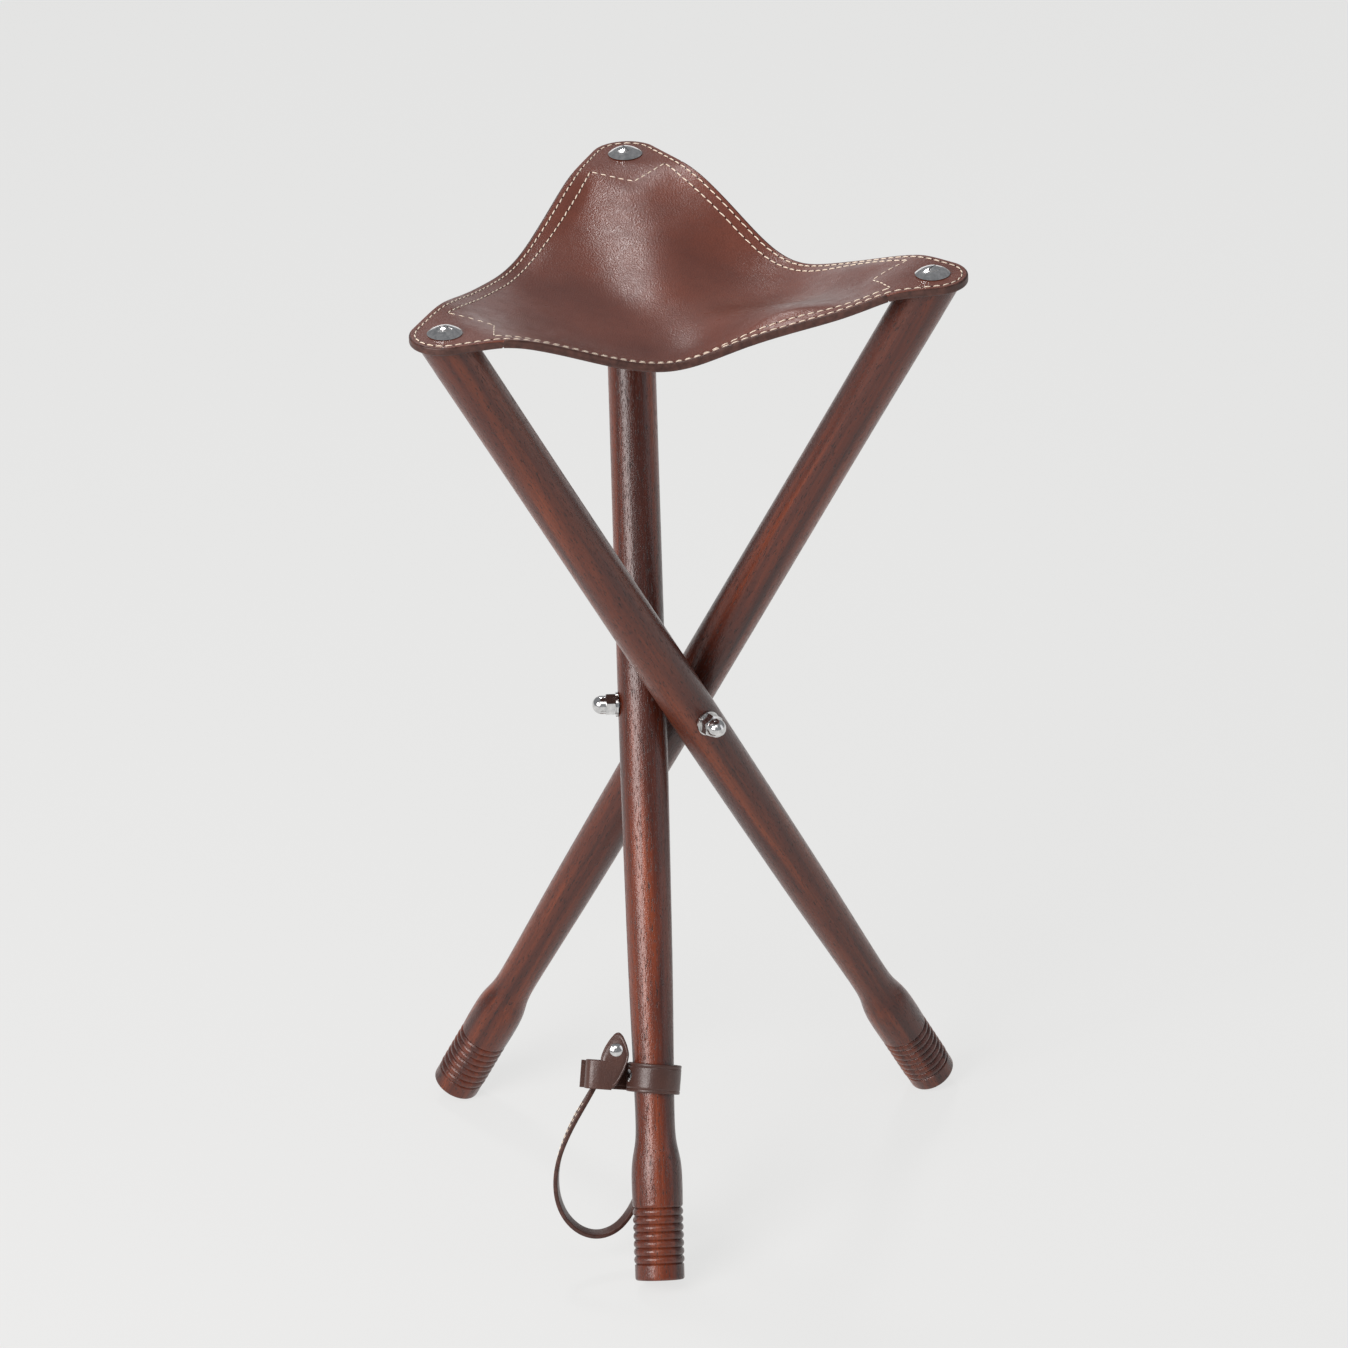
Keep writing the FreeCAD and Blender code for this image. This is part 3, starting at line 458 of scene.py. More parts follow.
def knots():
    out = [(O[0], O[1], CENTRE_SAG)]
    for k in "abc":
        T = TOP[k]
        i = (O - T) / np.linalg.norm(O - T)
        out.append((T[0], T[1], 0.1))
        for f, g, z in CORNER_KNOTS:
            out.append((T[0] + i[0] * f - i[1] * g, T[1] + i[1] * f + i[0] * g, z))
        for f, z in LOBE_KNOTS[k]:
            out.append((T[0] + i[0] * f, T[1] + i[1] * f, z))
    for key, rows in PROFILE.items():
        A, B = TOP[key[0]], TOP[key[1]]
        t_ = B - A
        n = np.array([t_[1], -t_[0]]) / np.linalg.norm(t_)
        if n @ ((A + B) / 2 - O) < 0:
            n = -n
        for t, z in rows:
            p = A + t_ * t + n * (CORNER_R - EDGE_IN[key] * 4 * t * (1 - t))
            out.append((p[0], p[1], z))
    return np.array(out)


def kernel(r2):
    return np.where(r2 < 1e-9, 0.0, r2 * np.log(np.maximum(r2, 1e-9) / 1e4) * 0.5e-2)


KNOTS = knots()
_n = len(KNOTS)
_M = np.zeros((_n + 3, _n + 3))
_M[:_n, :_n] = kernel(((KNOTS[:, None, :2] - KNOTS[None, :, :2]) ** 2).sum(-1)) + 2.0 * np.eye(_n)
_M[:_n, _n:] = np.column_stack([np.ones(_n), KNOTS[:, :2] / 100])
_M[_n:, :_n] = _M[:_n, _n:].T
PLATE = np.linalg.solve(_M, np.concatenate([KNOTS[:, 2], np.zeros(3)]))


FOLD_WIDTH = 21.0
FOLDS = [(-98.8, -64.4, 0.34), (-112.3, -41.0, 1.71), (-98.8, -17.6, -1.33), (-85.3, -87.8, 0.58), (-71.8, -64.4, 2.32), (-85.3, -41.0, -0.41),
         (-71.8, -17.6, 0.27), (-85.3, 5.7, 1.19), (-71.8, 29.1, -1.89), (-44.8, -64.4, 1.17), (-58.3, -41.0, -0.71), (-44.8, -17.6, -1.95),
         (-58.3, 5.7, -3.99), (-44.8, 29.1, 1.43), (-58.3, 52.5, -2.22), (-44.8, 75.9, 1.3), (-58.3, 99.3, 0.97), (-44.8, 122.6, 3.27),
         (-17.8, -64.4, 1.67), (-31.3, -41.0, -1.74), (-17.8, -17.6, -0.54), (-31.3, 5.7, 0.54), (-17.8, 29.1, -6.53), (-17.8, 75.9, -4.64),
         (-31.3, 99.3, -0.31), (-17.8, 122.6, -4.3), (9.2, -64.4, 3.64), (9.2, -17.6, -1.87), (-4.3, 5.7, -3.97), (9.2, 29.1, -4.05),
         (-4.3, 52.5, -3.29), (9.2, 75.9, -2.61), (9.2, 122.6, 2.67), (36.2, -64.4, -0.24), (36.2, -17.6, -4.27), (22.7, 5.7, 1.22),
         (36.2, 29.1, -0.38), (36.2, 75.9, 0.71), (22.7, 99.3, -0.92), (63.2, -64.4, -4.61), (49.7, -41.0, -2.83), (63.2, -17.6, 1.4),
         (49.7, 5.7, 1.56), (63.2, 29.1, -0.54), (76.7, -41.0, -1.57), (90.2, -17.6, 3.26), (76.7, 5.7, 3.96), (103.7, -41.0, 3.44),
         (117.2, -17.6, -1.32), (103.7, 5.7, -3.18)]        # where the worn leather is pressed down (or stands up), and by how much


def fade(t):
    t = np.clip(t, 0, 1)
    return t * t * (3 - 2 * t)


def folds(x, y):
    """The soft folds of the worn seat, gone at its edge and round the screws."""
    m = np.ones(np.shape(x))
    for key in ("ab", "bc", "ca"):
        A, B = TOP[key[0]], TOP[key[1]]
        L = np.linalg.norm(B - A)
        t_ = (B - A) / L
        n = np.array([-t_[1], t_[0]])
        if n @ (O - A) < 0:
            n = -n
        s = np.clip(((x - A[0]) * t_[0] + (y - A[1]) * t_[1]) / L, 0, 1)
        m = m * fade(((x - A[0]) * n[0] + (y - A[1]) * n[1] + CORNER_R - EDGE_IN[key] * 4 * s * (1 - s) - 1) / 17)
    for k in "abc":
        m = m * fade((np.hypot(x - TOP[k][0], y - TOP[k][1]) - 24) / 22)
    q = 0
    for a, b, c in FOLDS:
        q = q + c * np.exp(-((x - a) ** 2 + (y - b) ** 2) / (2 * FOLD_WIDTH ** 2))
    return m * q


def drop(x, y):
    """How far the leather hangs below its corners: a thin plate through the knots."""
    x, y = np.asarray(x, float), np.asarray(y, float)
    q = PLATE[-3] + PLATE[-2] * x / 100 + PLATE[-1] * y / 100
    for w, k in zip(PLATE, KNOTS):
        q = q + w * kernel((x - k[0]) ** 2 + (y - k[1]) ** 2)
    q = q - 0.6
    return np.minimum((q + np.sqrt(q * q + 0.8)) / 2, 80.0) + folds(x, y)


def under(P):
    """Points and unit normals of the leather's underside over plan points."""
    x, y = P[..., 0], P[..., 1]
    z = Z_LEATHER - drop(x, y)
    e = 0.5
    dx = (drop(x - e, y) - drop(x + e, y)) / (2 * e)
    dy = (drop(x, y - e) - drop(x, y + e)) / (2 * e)
    n = np.stack([-dx, -dy, np.ones_like(dx)], -1)
    n /= np.linalg.norm(n, axis=-1)[..., None]
    return np.stack([x, y, z], -1), n


for k in "abc":
    make_leg(k)


def seat_outline():
    ks = ["a", "c", "b"]
    pts = []
    for i, k in enumerate(ks):
        prv, here, nxt = TOP[ks[i - 1]], TOP[k], TOP[ks[(i + 1) % 3]]

        def nrm(p, q):
            t = (q - p) / np.linalg.norm(q - p)
            return np.array([t[1], -t[0]])
        n0, n1 = nrm(prv, here), nrm(here, nxt)
        m = (n0 + n1) / np.linalg.norm(n0 + n1)
        key = "".join(sorted(k + ks[(i + 1) % 3])).replace("ac", "ca")
        pts.append((here + n0 * CORNER_R, here + m * CORNER_R, here + n1 * CORNER_R, n1, EDGE_IN[key]))
    out = []
    for i in range(3):
        a, m, b, n1, dip = pts[i]
        nx = pts[(i + 1) % 3][0]
        out += list(arc3(a, m, b, 60))[:-1]
        out += list(arc3(b, (b + nx) / 2 - n1 * dip, nx, 400))[:-1]
    return np.array(out)


OUT = seat_outline()


def angle_of(p):
    return np.arctan2(p[..., 1] - O[1], p[..., 0] - O[0])


_oa = np.unwrap(angle_of(OUT))
_oa0 = _oa[0]
_arc = np.concatenate([[0], np.cumsum(np.linalg.norm(np.diff(np.vstack([OUT, OUT[:1]]), axis=0), axis=1))])
PERIM = _arc[-1]
_ang = np.concatenate([_oa, [_oa[0] + 2 * math.pi]])
_pts = np.vstack([OUT, OUT[:1]])


def at_arc(s):
    s = np.mod(s, PERIM)
    return np.stack([np.interp(s, _arc, _pts[:, 0]), np.interp(s, _arc, _pts[:, 1])], -1)


def arc_at_angle(a):
    a = (a - _oa0) % (2 * math.pi) + _oa0
    return float(np.interp(a, _ang, _arc))


def edge_distance(P):
    """Distance of plan points inside the outline."""
    Q = P.reshape(-1, 2)
    out = np.empty(len(Q))
    for i in range(0, len(Q), 4000):
        out[i:i + 4000] = np.sqrt(((Q[i:i + 4000, None] - OUT[None]) ** 2).sum(-1)).min(1)
    return out.reshape(P.shape[:-1])


CHORD = 20.0
INN = {k: (O - TOP[k]) / np.linalg.norm(O - TOP[k]) for k in "abc"}
SID = {k: np.array([-INN[k][1], INN[k][0]]) for k in "abc"}

# rays from the centre to the outline: at the corner lines, the ends of the chords and evenly between
corner_arc = {k: arc_at_angle(math.atan2(*(TOP[k] - O)[::-1])) for k in "abc"}


def chord_hit(k, sign):
    """Arc length where the chord of corner k meets the outline."""
    best = None
    s = corner_arc[k] + sign * np.linspace(5, 120, 2400)
    along = (at_arc(s) - TOP[k]) @ INN[k]
    i = int(np.argmax(along > CHORD))
    f = (CHORD - along[i - 1]) / (along[i] - along[i - 1])
    return s[i - 1] + f * (s[i] - s[i - 1])


hits = {k: (chord_hit(k, -1), chord_hit(k, +1)) for k in "abc"}
order = sorted("abc", key=lambda k: corner_arc[k])          # counter-clockwise from the first
SIDE_OF = {frozenset("ab"): "ab", frozenset("bc"): "bc", frozenset("ca"): "ca"}


def spaced(s0, s1, step):
    n = max(2, int(round((s1 - s0) / step)) + 1)
    return np.linspace(s0, s1, n)


ROW_1, ROW_2 = 3.6, 10.0        # stitch rows inside the cut edge
EDGE_ROWS = np.array([0, 0.18, 0.45, 0.8, 1.25, 1.9, 2.6, 3.1, 3.6, 4.1, 4.7, 5.6, 6.8, 8.1, 9.0, 9.5, 10.0, 10.5, 11.1, 12.2, 14, 16.5, 19.5, 23])
RIM = 1.25


def groove(P):
    """How far the stitches draw the leather down."""
    e = edge_distance(P)
    g = 0.28 * np.exp(-((e - ROW_1) / 0.7) ** 2)
    inner = 0.28 * np.exp(-((e - ROW_2) / 0.75) ** 2)
    near = np.minimum.reduce([np.linalg.norm(P - TOP[k], axis=-1) for k in "abc"])
    return g + inner * np.clip((near - 26) / 6, 0, 1)


def column(e, top):
    """How far into the rounded rim a point lies: 1 at the cut edge, falling to 0 at RIM inward."""
    c = np.clip(1 - e / RIM, 0, 1)
    return c


def layer_piece(name, dirs, R0, R1, t_lo, t_hi, mats, rim_outer, rim_mat, top_mat, bot_mat, rows_extra=None, bevel_top=True, grooves=True, cut=None):
    """Closed leather solid over rays. dirs: unit plan directions from the centre; R0, R1: inner and outer radius on each ray.
    The outer boundary is the leather's own cut edge where rim_outer is true."""
    nr = len(dirs)
    rows = []
    for j in range(nr):
        span = R1[j] - R0[j]
        er = EDGE_ROWS[EDGE_ROWS < span * 0.85]
        rows.append(er)
    k = len(EDGE_ROWS)
    inner = 30 if rows_extra is None else rows_extra
    E = np.zeros((nr, k + inner))
    for j in range(nr):
        span = R1[j] - R0[j]
        f = min(1.0, 0.55 * span / EDGE_ROWS[-1])
        e = EDGE_ROWS * f
        E[j, :k] = e
        E[j, k:] = e[-1] + (span - e[-1]) * (np.arange(1, inner + 1) / inner)
    rad = R1[:, None] - E
    P = O + dirs[:, None, :] * rad[..., None]
    B, n = under(P)
    out_dir = np.zeros((nr, 3))
    tang = np.gradient(B[:, 0], axis=0)
    nn = n[:, 0]
    od = np.cross(tang, nn)
    od /= np.maximum(np.linalg.norm(od, axis=1), 1e-9)[:, None]
    sgn = np.sign((od[:, :2] * dirs).sum(1))
    out_dir = od * sgn[:, None]
    gr = groove(P) if grooves else np.zeros(P.shape[:-1])
    rim = rim_outer[:, None] if rim_outer is not None else np.zeros((nr, 1), bool)
    c = np.where(rim, np.clip(1 - E / RIM, 0, 1), 0.0)
    lift = RIM * (1 - np.sqrt(np.maximum(1 - c ** 2, 0)))
    t_top = t_hi - gr - (lift if bevel_top else 0)
    t_bot = t_lo + (0 if bevel_top else lift)
    T = B + n * t_top[..., None]
    U = B + n * (t_bot[..., None] if np.ndim(t_bot) else t_bot)
    nt_ = n * np.sqrt(np.maximum(1 - c ** 2, 0))[..., None] + out_dir[:, None, :] * c[..., None]
    nb_ = -n * np.sqrt(np.maximum(1 - c ** 2, 0))[..., None] + out_dir[:, None, :] * c[..., None]
    if not bevel_top:
        nt_ = n.copy()
    else:
        nb_ = -n.copy()
    b = Build()
    it = b.add(T).reshape(nr, -1)
    ib = b.add(U).reshape(nr, -1)
    nmap = {}
    dead = R1 - R0 < 1e-6
    # where the inner ends meet in one point they are one vertex
    if np.allclose(R0, 0):
        it[:, -1] = it[0, -1]; ib[:, -1] = ib[0, -1]
    for j in np.where(dead)[0]:
        it[j, :] = it[j, 0]; ib[j, :] = ib[j, 0]
    nT = {int(v): x for v, x in zip(it.ravel(), nt_.reshape(-1, 3))}
    nB = {int(v): x for v, x in zip(ib.ravel(), nb_.reshape(-1, 3))}
    kt = 5 if bevel_top else 0
    q = quads(it[:, :], flip=False)
    # orientation: rays go counter-clockwise, rows go inward
    def fan(I, sub, flip, m, nm):
        Q = quads(I[:, sub[0]:sub[1]], flip=flip)
        b.faces([list(x) for x in Q], nm, m)
    if bevel_top:
        Q = quads(it[:, :kt]).reshape(nr - 1, -1, 4)
        cut_edge = rim[:-1, 0] & rim[1:, 0]
        b.faces([list(x) for x in Q[cut_edge].reshape(-1, 4)], nT, rim_mat)
        b.faces([list(x) for x in Q[~cut_edge].reshape(-1, 4)], nT, top_mat)
        fan(it, (kt - 1, None), False, top_mat, nT)
        fan(ib, (0, None), True, bot_mat, nB)
    else:
        fan(it, (0, None), False, top_mat, nT)
        fan(ib, (0, 5), True, rim_mat, nB)
        fan(ib, (4, None), True, bot_mat, nB)
    # outer wall
    od_map = {}
    for j in range(nr):
        od_map[int(it[j, 0])] = out_dir[j]; od_map[int(ib[j, 0])] = out_dir[j]
    W = [[int(ib[j, 0]), int(ib[j + 1, 0]), int(it[j + 1, 0]), int(it[j, 0])] for j in range(nr - 1)]
    b.faces(W, od_map if rim_outer is not None else None, rim_mat)
    # inner wall
    if not np.allclose(R0, 0):
        W = [[int(it[j, -1]), int(it[j + 1, -1]), int(ib[j + 1, -1]), int(ib[j, -1])] for j in range(nr - 1)]
        b.faces(W, None, bot_mat)
    # end walls
    for j, fl in ((0, False), (nr - 1, True)):
        if dead[j]:
            continue
        W = [[int(it[j, i]), int(it[j, i + 1]), int(ib[j, i + 1]), int(ib[j, i])] for i in range(E.shape[1] - 1)]
        if fl:
            W = [w[::-1] for w in W]
        b.faces(W, None, bot_mat)
    V = np.concatenate(b.V)
    # drop unused vertices
    used = sorted({x for f in b.F for x in f})
    re = {x: i for i, x in enumerate(used)}
    F = [[re[x] for x in f] for f in b.F]
    N = np.array(b.N)
    # turn the faces outward if the first top face looks down
    f0 = next(f for f, mi in zip(b.F, b.M) if mi == top_mat)
    v = V[f0]
    if bevel_top and np.cross(v[1] - v[0], v[2] - v[0])[2] < 0 or (not bevel_top and np.cross(v[1] - v[0], v[2] - v[0])[2] < 0):
        F2, N2, p = [], [], 0
        for f in F:
            m_ = len(f)
            F2.append(f[::-1]); N2 += list(N[p:p + m_][::-1]); p += m_
        F, N = F2, np.array(N2)
    return mesh(name, V[used], F, mats, normals=N, mat_index=b.M)


def ride_side(ob, key):
    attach(ob, "seat_side_" + key)
    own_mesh(ob)


STEP = 2.0
sides = []
for i, k in enumerate(order):
    k2 = order[(i + 1) % 3]
    s0, s1 = corner_arc[k], corner_arc[k2]
    if s1 < s0:
        s1 += PERIM
    h0 = hits[k][1]
    h1 = hits[k2][0]
    while h1 < s0:
        h1 += PERIM
    while h0 < s0:
        h0 += PERIM
    S = np.concatenate([spaced(s0, h0, STEP)[:-1], spaced(h0, h1, STEP)[:-1], spaced(h1, s1, STEP)])
    sides.append((k, k2, SIDE_OF[frozenset(k + k2)], S, h0, h1))

for k, k2, key, S, h0, h1 in sides:
    E_ = at_arc(S)
    R = np.linalg.norm(E_ - O, axis=1)
    D = (E_ - O) / R[:, None]
    # the chords of both corners cut the side short
    R1 = R.copy(); rim = np.ones(len(S), bool)
    for kk, lo, hi in ((k, S[0] - 1, h0), (k2, h1, S[-1] + 1)):
        for j in range(len(S)):
            if lo <= S[j] <= hi:
                dist = np.linalg.norm(TOP[kk] - O)
                ca = D[j] @ (-INN[kk])
                r = (dist - CHORD) / ca
                if r < R[j] - 1e-6:
                    R1[j] = r; rim[j] = False
                else:
                    R1[j] = R[j]
    ob = layer_piece("seat_side_leather_" + key, D, np.zeros(len(S)), R1, 0.0, LEATHER_T, [SEAT, EDGE, LINING], rim, 1, 0, 2)
    ride_side(ob, key)
    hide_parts("seat_leather")
    # strip under the side, along its cut edge
    m = (S >= h0 - 1e-6) & (S <= h1 + 1e-6)
    ob = layer_piece("edge_strip_" + key, D[m], R1[m] - 28.0, R1[m], -0.06 - STRIP_T, -0.06, [SEAT, EDGE, LINING], np.ones(m.sum(), bool), 1, 2, 2, rows_extra=2, bevel_top=False, grooves=False)
    ride_side(ob, key)
    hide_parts("seat_side_strip_" + key)

for k in "abc":
    hl, hr = hits[k]
    c = corner_arc[k]
    S = np.concatenate([spaced(hl, c, 1.6)[:-1], spaced(c, hr, 1.6)])
    # the corner keeps the same rays as the two sides so that the seams meet
    Sl = [s for kk, k2, key, SS, h0, h1 in sides if k2 == k for s in SS if s >= h1 - 1e-6]
    Sr = [s for kk, k2, key, SS, h0, h1 in sides if kk == k for s in SS if s <= h0 + 1e-6]
    base = Sl[-1]
    shift = round((Sr[0] - base) / PERIM) * PERIM
    S = np.array(Sl[:-1] + [s - shift for s in Sr])
    E_ = at_arc(S)
    R = np.linalg.norm(E_ - O, axis=1)
    D = (E_ - O) / R[:, None]
    dist = np.linalg.norm(TOP[k] - O)
    R0 = np.minimum((dist - CHORD) / (D @ (-INN[k])), R)
    R0[0] = R[0]; R0[-1] = R[-1]
    ob = layer_piece("seat_corner_leather_" + k, D, R0, R, 0.0, LEATHER_T, [SEAT, EDGE, LINING], np.ones(len(S), bool), 1, 0, 2, rows_extra=14)
    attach(ob, "leg_" + k)
    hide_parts("seat_leather")
    ob = layer_piece("corner_layer_" + k, D, R0, R, -0.06 - 2.1, -0.06, [SEAT, EDGE, LINING], np.ones(len(S), bool), 1, 2, 2, rows_extra=14, bevel_top=False, grooves=False)
    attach(ob, "leg_" + k)
    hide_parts("seat_corner_patch_" + k)


# ---------------------------------------------------------------- stitches
def inset_line(s0, s1, q, step=1.0):
    """Points inside the outline by q, from arc length s0 to s1."""
    s = spaced(s0, s1, step)
    p = at_arc(s)
    t = at_arc(s + 0.8) - at_arc(s - 0.8)
    t /= np.linalg.norm(t, axis=1)[:, None]
    n = np.stack([-t[:, 1], t[:, 0]], 1)
    n *= np.sign(((O - p) * n).sum(1))[:, None]
    return p + n * q


def resample(P, step):
    L = np.concatenate([[0], np.cumsum(np.linalg.norm(np.diff(P, axis=0), axis=1))])
    n = max(1, int(round(L[-1] / step)))
    s = np.linspace(0, L[-1], n + 1)
    return np.stack([np.interp(s, L, P[:, i]) for i in range(P.shape[1])], 1)


def lift_to_top(P, above):
    B, n = under(P)
    g = groove(P)
    return B + n * (LEATHER_T - g + above)[..., None] if np.ndim(above) else B + n * (LEATHER_T - g + above)[..., None], n


def capsule(p, q, r, up, nseg=7, sink=0.25):
    """Bowed thread from p to q, its ends drawn down into the leather."""
    a = q - p
    L = np.linalg.norm(a); a = a / L
    w = np.cross(up, a); w /= np.linalg.norm(w)
    u = np.cross(a, w)
    t = np.linspace(0, 1, nseg)
    V = []
    for x in t:
        c = p + a * L * x
        bow = math.sin(math.pi * x)
        rr = r * (0.45 + 0.55 * min(1, 3.2 * min(x, 1 - x)))
        c = c + u * (bow ** 0.6 * r * 0.9 - sink)
        for i in range(8):
            th = i * math.pi / 4
            V.append(c + (w * math.cos(th) + u * math.sin(th) * 0.85) * rr)
    V = np.array(V)
    I = np.arange(nseg * 8).reshape(nseg, 8)
    F = [list(map(int, f)) for f in quads(I, True)]
    F += [list(map(int, I[0][::-1])), list(map(int, I[-1]))]
    # outward faces
    f = F[0]
    n = np.cross(V[f[1]] - V[f[0]], V[f[2]] - V[f[0]])
    if np.dot(n, V[f].mean(0) - V[:16].mean(0)) < 0:
        F = [x[::-1] for x in F]
    return V, F


def hole_shade_disc(c, u, r):
    """Painted shade of a stitch hole: a small dark disc a little above the leather, standing in for the hole, which is
    not cut.
    """
    x = np.cross(u, [0.3, 0.9, 0.1]); x /= np.linalg.norm(x)
    y = np.cross(u, x)
    ring = [c + (x * math.cos(a) + y * math.sin(a)) * r + u * 0.03 for a in np.arange(8) * math.pi / 4]
    low = [p - u * 0.5 for p in ring]
    V = np.array(ring + low)
    F = [list(range(8)), list(range(15, 7, -1))] + [[i + 8, (i + 1) % 8 + 8, (i + 1) % 8, i] for i in range(8)]
    f = F[0]
    if np.dot(np.cross(V[f[1]] - V[f[0]], V[f[2]] - V[f[0]]), u) < 0:
        F = [g[::-1] for g in F]
    return V, F


def owner(p):
    """Which piece of the seat carries a plan point: a corner or a side."""
    for k in "abc":
        if (p - TOP[k]) @ INN[k] < CHORD:
            return "leg_" + k
    a = angle_of(p)
    s = arc_at_angle(float(a))
    for k, k2, key, S, h0, h1 in sides:
        for m in (-PERIM, 0, PERIM):
            if S[0] <= s + m <= S[-1]:
                return key
    return "ab"


stitch = {}
hole_shades = {}


def sew(P, pitch=6.0, length=4.3, slant=0.0, r=0.42, loop=False):
    P = resample(P, pitch)
    for i in range(len(P) - 1):
        a, b = P[i], P[i + 1]
        m = (a + b) / 2
        t = (b - a) / np.linalg.norm(b - a)
        n = np.array([-t[1], t[0]])
        j = rng.normal(0, 0.08, 2)
        sl = slant + rng.normal(0, 0.05)
        p2 = m - t * length / 2 - n * sl + n * j[0]
        q2 = m + t * length / 2 + n * sl + n * j[1]
        (Bp, np_), (Bq, nq) = under(p2), under(q2)
        tp = Bp + np_ * (LEATHER_T - 0.14); tq = Bq + nq * (LEATHER_T - 0.14)
        up = np_ + nq; up /= np.linalg.norm(up)
        V, F = capsule(tp, tq, r, up)
        o = owner(m)
        stitch.setdefault(o, []).append((V, F))
        for e, nn in ((tp, np_), (tq, nq)):
            # each stitch end gets a dark disc of painted shade in place of a hole
            hole_shades.setdefault(o, []).append(hole_shade_disc(e - nn * 0.02, nn, 0.50))


# outer row, all round
sew(np.vstack([inset_line(0, PERIM - 1, ROW_1), inset_line(0, 1, ROW_1)[:1]]), 6.0, 5.0, 0.20, 0.43)
# inner rows and the chevrons that join them at the corners
ROWS = {}
CHEVRON = {"a": (20.5, 37.0), "b": (19.0, 33.5), "c": (20.0, 37.0)}     # inward from the screw: ends, point
for k, k2, key, S, h0, h1 in sides:
    line = inset_line(S[0], S[-1], ROW_2)
    d0 = (line - TOP[k]) @ INN[k]
    d1 = (line - TOP[k2]) @ INN[k2]
    m = (d0 > CHEVRON[k][0]) & (d1 > CHEVRON[k2][0])
    line = line[m]
    ROWS[key] = (k, k2, line)
    sew(line, 6.0, 5.0, 0.20, 0.43)
for k in "abc":
    ends = []
    for key, (k1, k2, line) in ROWS.items():
        if k1 == k: ends.append(line[0])
        if k2 == k: ends.append(line[-1])
    apex = TOP[k] + INN[k] * CHEVRON[k][1]
    sew(np.array([ends[0], apex]), 5.6, 4.7, 0.10, 0.43)
    sew(np.array([apex, ends[1]]), 5.6, 4.7, 0.10, 0.43)

for o in sorted(stitch):
    V, F, M, c = [], [], [], 0
    for v, f in stitch[o]:
        V.append(v); F += [[x + c for x in g] for g in f]; M += [0] * len(f); c += len(v)
    # the hole discs take the painted-shade material
    for v, f in hole_shades[o]:
        V.append(v); F += [[x + c for x in g] for g in f]; M += [1] * len(f); c += len(v)
    ob = mesh("stitches_" + o, np.concatenate(V), F, [THREAD, HOLE_SHADE], mat_index=M, sharp=60)
    if o.startswith("leg_"):
        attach(ob, o)
    else:
        ride_side(ob, o)

# ---------------------------------------------------------------- closing strap, in its own frame on leg b
SO = np.array([-40.293, -113.4788, 119.9941])
XL = np.array([0.9905151566, -0.0652180752, -0.1209393531])
YB = np.array([0.0, 0.8801765938, -0.4746463566])
ZL = np.array([0.1374035096, 0.4701444102, 0.8718282566])
LEAN = math.radians(6.0)


def askew(x, y, z):
    return (x * math.cos(LEAN) - z * math.sin(LEAN), y, z * math.cos(LEAN) + x * math.sin(LEAN))


def world(P):
    P = np.asarray(P, float)
    return SO + P[..., 0:1] * XL + P[..., 1:2] * YB + P[..., 2:3] * ZL


def section(width, t, r=0.7, crease=2.2, depth=0.28, n=5):
    """Cross-section of a strap as (across, out) points: rounded edges, a pressed line near each edge on the outer face."""
    w, h = width / 2, t / 2
    pts = []
    for sx, sy, a0 in ((1, 1, 0), (-1, 1, 90), (-1, -1, 180), (1, -1, 270)):
        cx, cy = sx * (w - r), sy * (h - r)
        arc = [(cx + r * math.cos(math.radians(a0 + a)), cy + r * math.sin(math.radians(a0 + a))) for a in np.linspace(0, 90, n)]
        pts += arc
        if sy == 1 and sx == 1:      # across the outer face
            for e, dd in ((w - crease + 0.5, 0), (w - crease + 0.2, depth * 0.6), (w - crease, depth), (w - crease - 0.2, depth * 0.6), (w - crease - 0.5, 0)):
                pts.append((e, h - dd))
            for e in np.linspace(w - crease - 1.5, -(w - crease - 1.5), 7):
                pts.append((e, h))
            for e, dd in ((-(w - crease - 0.5), 0), (-(w - crease - 0.2), depth * 0.6), (-(w - crease), depth), (-(w - crease + 0.2), depth * 0.6), (-(w - crease + 0.5), 0)):
                pts.append((e, h - dd))
    return np.array(pts)


def sweep(name, C, W, H, sec, mats, closed=False, mat_fn=None, scale=None, sharp=50):
    """Section swept along points C with across directions W and outward directions H."""
    C, W, H = map(np.asarray, (C, W, H))
    n, m = len(C), len(sec)
    sc = np.ones((n, 2)) if scale is None else np.asarray(scale)
    V = (C[:, None] + W[:, None] * (sec[None, :, 0:1] * sc[:, None, 0:1]) + H[:, None] * (sec[None, :, 1:2] * sc[:, None, 1:2])).reshape(-1, 3)
    I = np.arange(n * m).reshape(n, m)
    if closed:
        J = np.vstack([I, I[:1]])
        F = [list(map(int, f)) for f in quads(J, True)]
    else:
        F = [list(map(int, f)) for f in quads(I, True)]
        F += [list(map(int, I[0][::-1])), list(map(int, I[-1]))]
    f = F[len(F) // 2]
    nrm = np.cross(V[f[1]] - V[f[0]], V[f[2]] - V[f[0]])
    j = f[0] // m
    if np.dot(nrm, V[f].mean(0) - C[j]) < 0:
        F = [x[::-1] for x in F]
    face_edge = []
    for f in F:
        a = np.abs(sec[np.array(f) % m, 0]).mean()
        face_edge.append(1 if a > np.abs(sec[:, 0]).max() - 0.55 or len(f) > 4 else 0)
    return mesh(name, V, F, mats, mat_index=face_edge, sharp=sharp)


